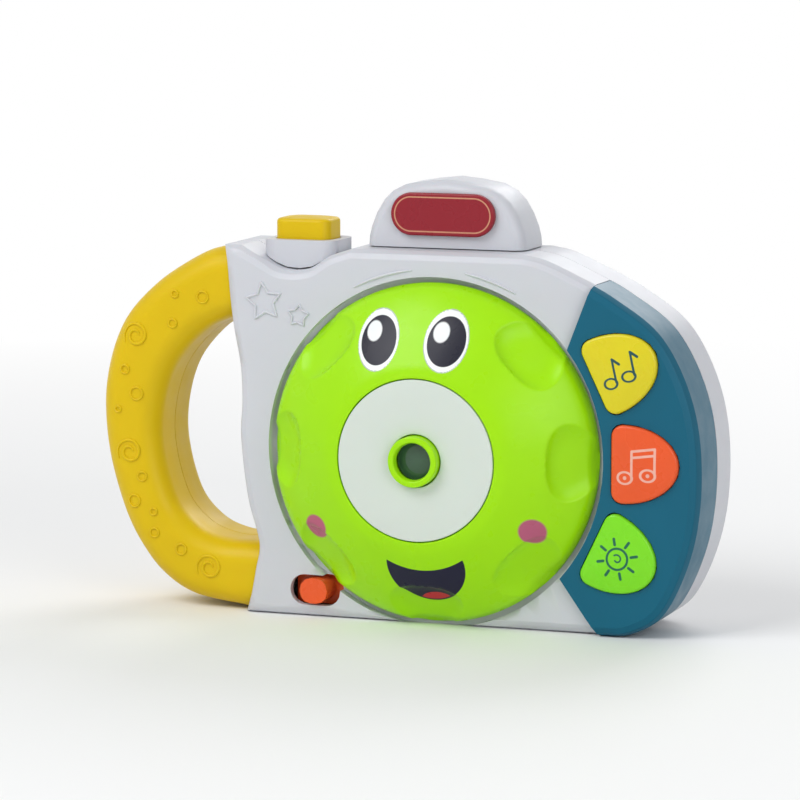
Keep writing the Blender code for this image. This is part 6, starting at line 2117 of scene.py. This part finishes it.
@dataclass
class Studio:
    """A pale floor that turns white further out, soft lamps, and the camera at the photograph's angle."""

    camera_place: tuple[float, float, float] = (366.6, -1023.0, 203.6)
    fill_share: float = 0.80
    sensor: float = 36.0
    floor_colour: Colour = (0.86, 0.86, 0.855)
    floor_half: float = 3200.0
    plain_from: float = 240.0
    plain_to: float = 620.0
    sky: float = 0.42

    def build(self) -> None:
        """Makes the stage, the lamps, the world and the camera."""
        self.build_floor()
        self.build_world()
        self.build_lamp("key", (-420, -620, 760), 620, 6.0)
        self.build_lamp("fill", (720, -640, 380), 560, 2.6)
        self.build_lamp("back", (120, 760, 620), 520, 3.2)
        self.build_camera()

    def build_floor(self) -> None:
        """A level floor, lit and shaded near the toy and seen as plain white further out."""
        reach = np.array([-self.floor_half, self.floor_half])
        x, y = np.meshgrid(reach, reach)
        floor = make_piece("floor", [surface(np.stack([x, y, np.full_like(x, -0.05)], axis=-1), wrap=False)])
        bench = NodeBench("floor_pale")
        tree = bench.tree
        mottle = bench.noise(3.0, 4.0)
        tint = bench.mix(mottle, rgba(self.floor_colour, 0.985), rgba(self.floor_colour, 1.015))
        bench.finish(Base_Color=tint, Roughness=0.7)
        away = bench.add("VectorMath", {"operation": "LENGTH"}, **{"0": bench.place}).outputs["Value"]
        share = bench.ranged(away, self.plain_from * MM, self.plain_to * MM, 0.0, 1.0)
        plain = bench.add("Math", {"operation": "MULTIPLY"}, **{"0": share, "1": seen_rays(tree)}).outputs[0]
        white = bench.add("Emission", Color=(1, 1, 1, 1), Strength=1.0).outputs[0]
        both = bench.add("MixShader", **{"0": plain, "1": bench.shader.outputs[0], "2": white})
        tree.links.new(both.outputs[0], tree.nodes["Material Output"].inputs["Surface"])
        floor.data.materials.append(bench.material)
        floor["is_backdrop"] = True

    def build_world(self) -> None:
        """An even pale sky that is plain white where it is seen."""
        world = bpy.data.worlds.new("studio")
        world.use_nodes = True
        tree = world.node_tree
        light = tree.nodes["Background"]
        light.inputs["Color"].default_value = (0.95, 0.97, 1.0, 1.0)
        light.inputs["Strength"].default_value = self.sky
        white = tree.nodes.new("ShaderNodeBackground")
        white.inputs["Color"].default_value = (1, 1, 1, 1)
        both = tree.nodes.new("ShaderNodeMixShader")
        tree.links.new(seen_rays(tree), both.inputs[0])
        tree.links.new(light.outputs[0], both.inputs[1])
        tree.links.new(white.outputs[0], both.inputs[2])
        tree.links.new(both.outputs[0], tree.nodes["World Output"].inputs["Surface"])
        bpy.context.scene.world = world

    def build_lamp(self, name: str, place: tuple[float, float, float], size: float, power: float) -> None:
        """A square lamp that faces the toy.

        Args:
            name: The lamp's name.
            place: Where it stands.
            size: Its side.
            power: Its power in watts.
        """
        data = bpy.data.lights.new(name, "AREA")
        data.size = size * MM
        data.energy = power
        lamp = bpy.data.objects.new(name, data)
        lamp.location = Vector(place) * MM
        lamp.rotation_euler = (Vector((0, 0, 50)) * MM - lamp.location).to_track_quat("-Z", "Y").to_euler()
        bpy.context.scene.collection.objects.link(lamp)

    def build_camera(self) -> None:
        """The camera where the photograph's stood, aimed at the toy's middle so that it fills its share."""
        low, high = (np.array(corner, float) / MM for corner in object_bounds())
        target = (low + high) / 2
        place = np.array(self.camera_place)
        data = bpy.data.cameras.new("camera")
        data.sensor_width = self.sensor
        reach = np.linalg.norm(place - target)
        data.lens = self.sensor * self.fill_share * reach / (high - low)[0]
        camera = bpy.data.objects.new("camera", data)
        camera.location = Vector(place) * MM
        camera.rotation_euler = Vector(target - place).to_track_quat("-Z", "Y").to_euler()
        bpy.context.scene.collection.objects.link(camera)
        bpy.context.scene.camera = camera


def main() -> None:
    """Loads the frame, builds the sub-assemblies in order and sets the studio."""
    logging.basicConfig(level=logging.INFO, format="%(message)s")
    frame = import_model()
    bpy.context.scene.view_settings.view_transform = "Standard"
    shop = Workshop(frame, Finishes())
    head = Head(shop)
    head.build()
    Cartridge(shop).build()
    ControlPanel(shop).build(head.axis)
    Housing(shop).build(head.axis)
    Handle(shop).build(head.axis)
    Shutter(shop).build()
    PowerSwitch(shop).build()
    Interior(shop).build()
    Screws(shop).build()
    Studio().build()
    LOG.info("%d pieces dressed", shop.pieces)


if __name__ == "__main__":
    main()
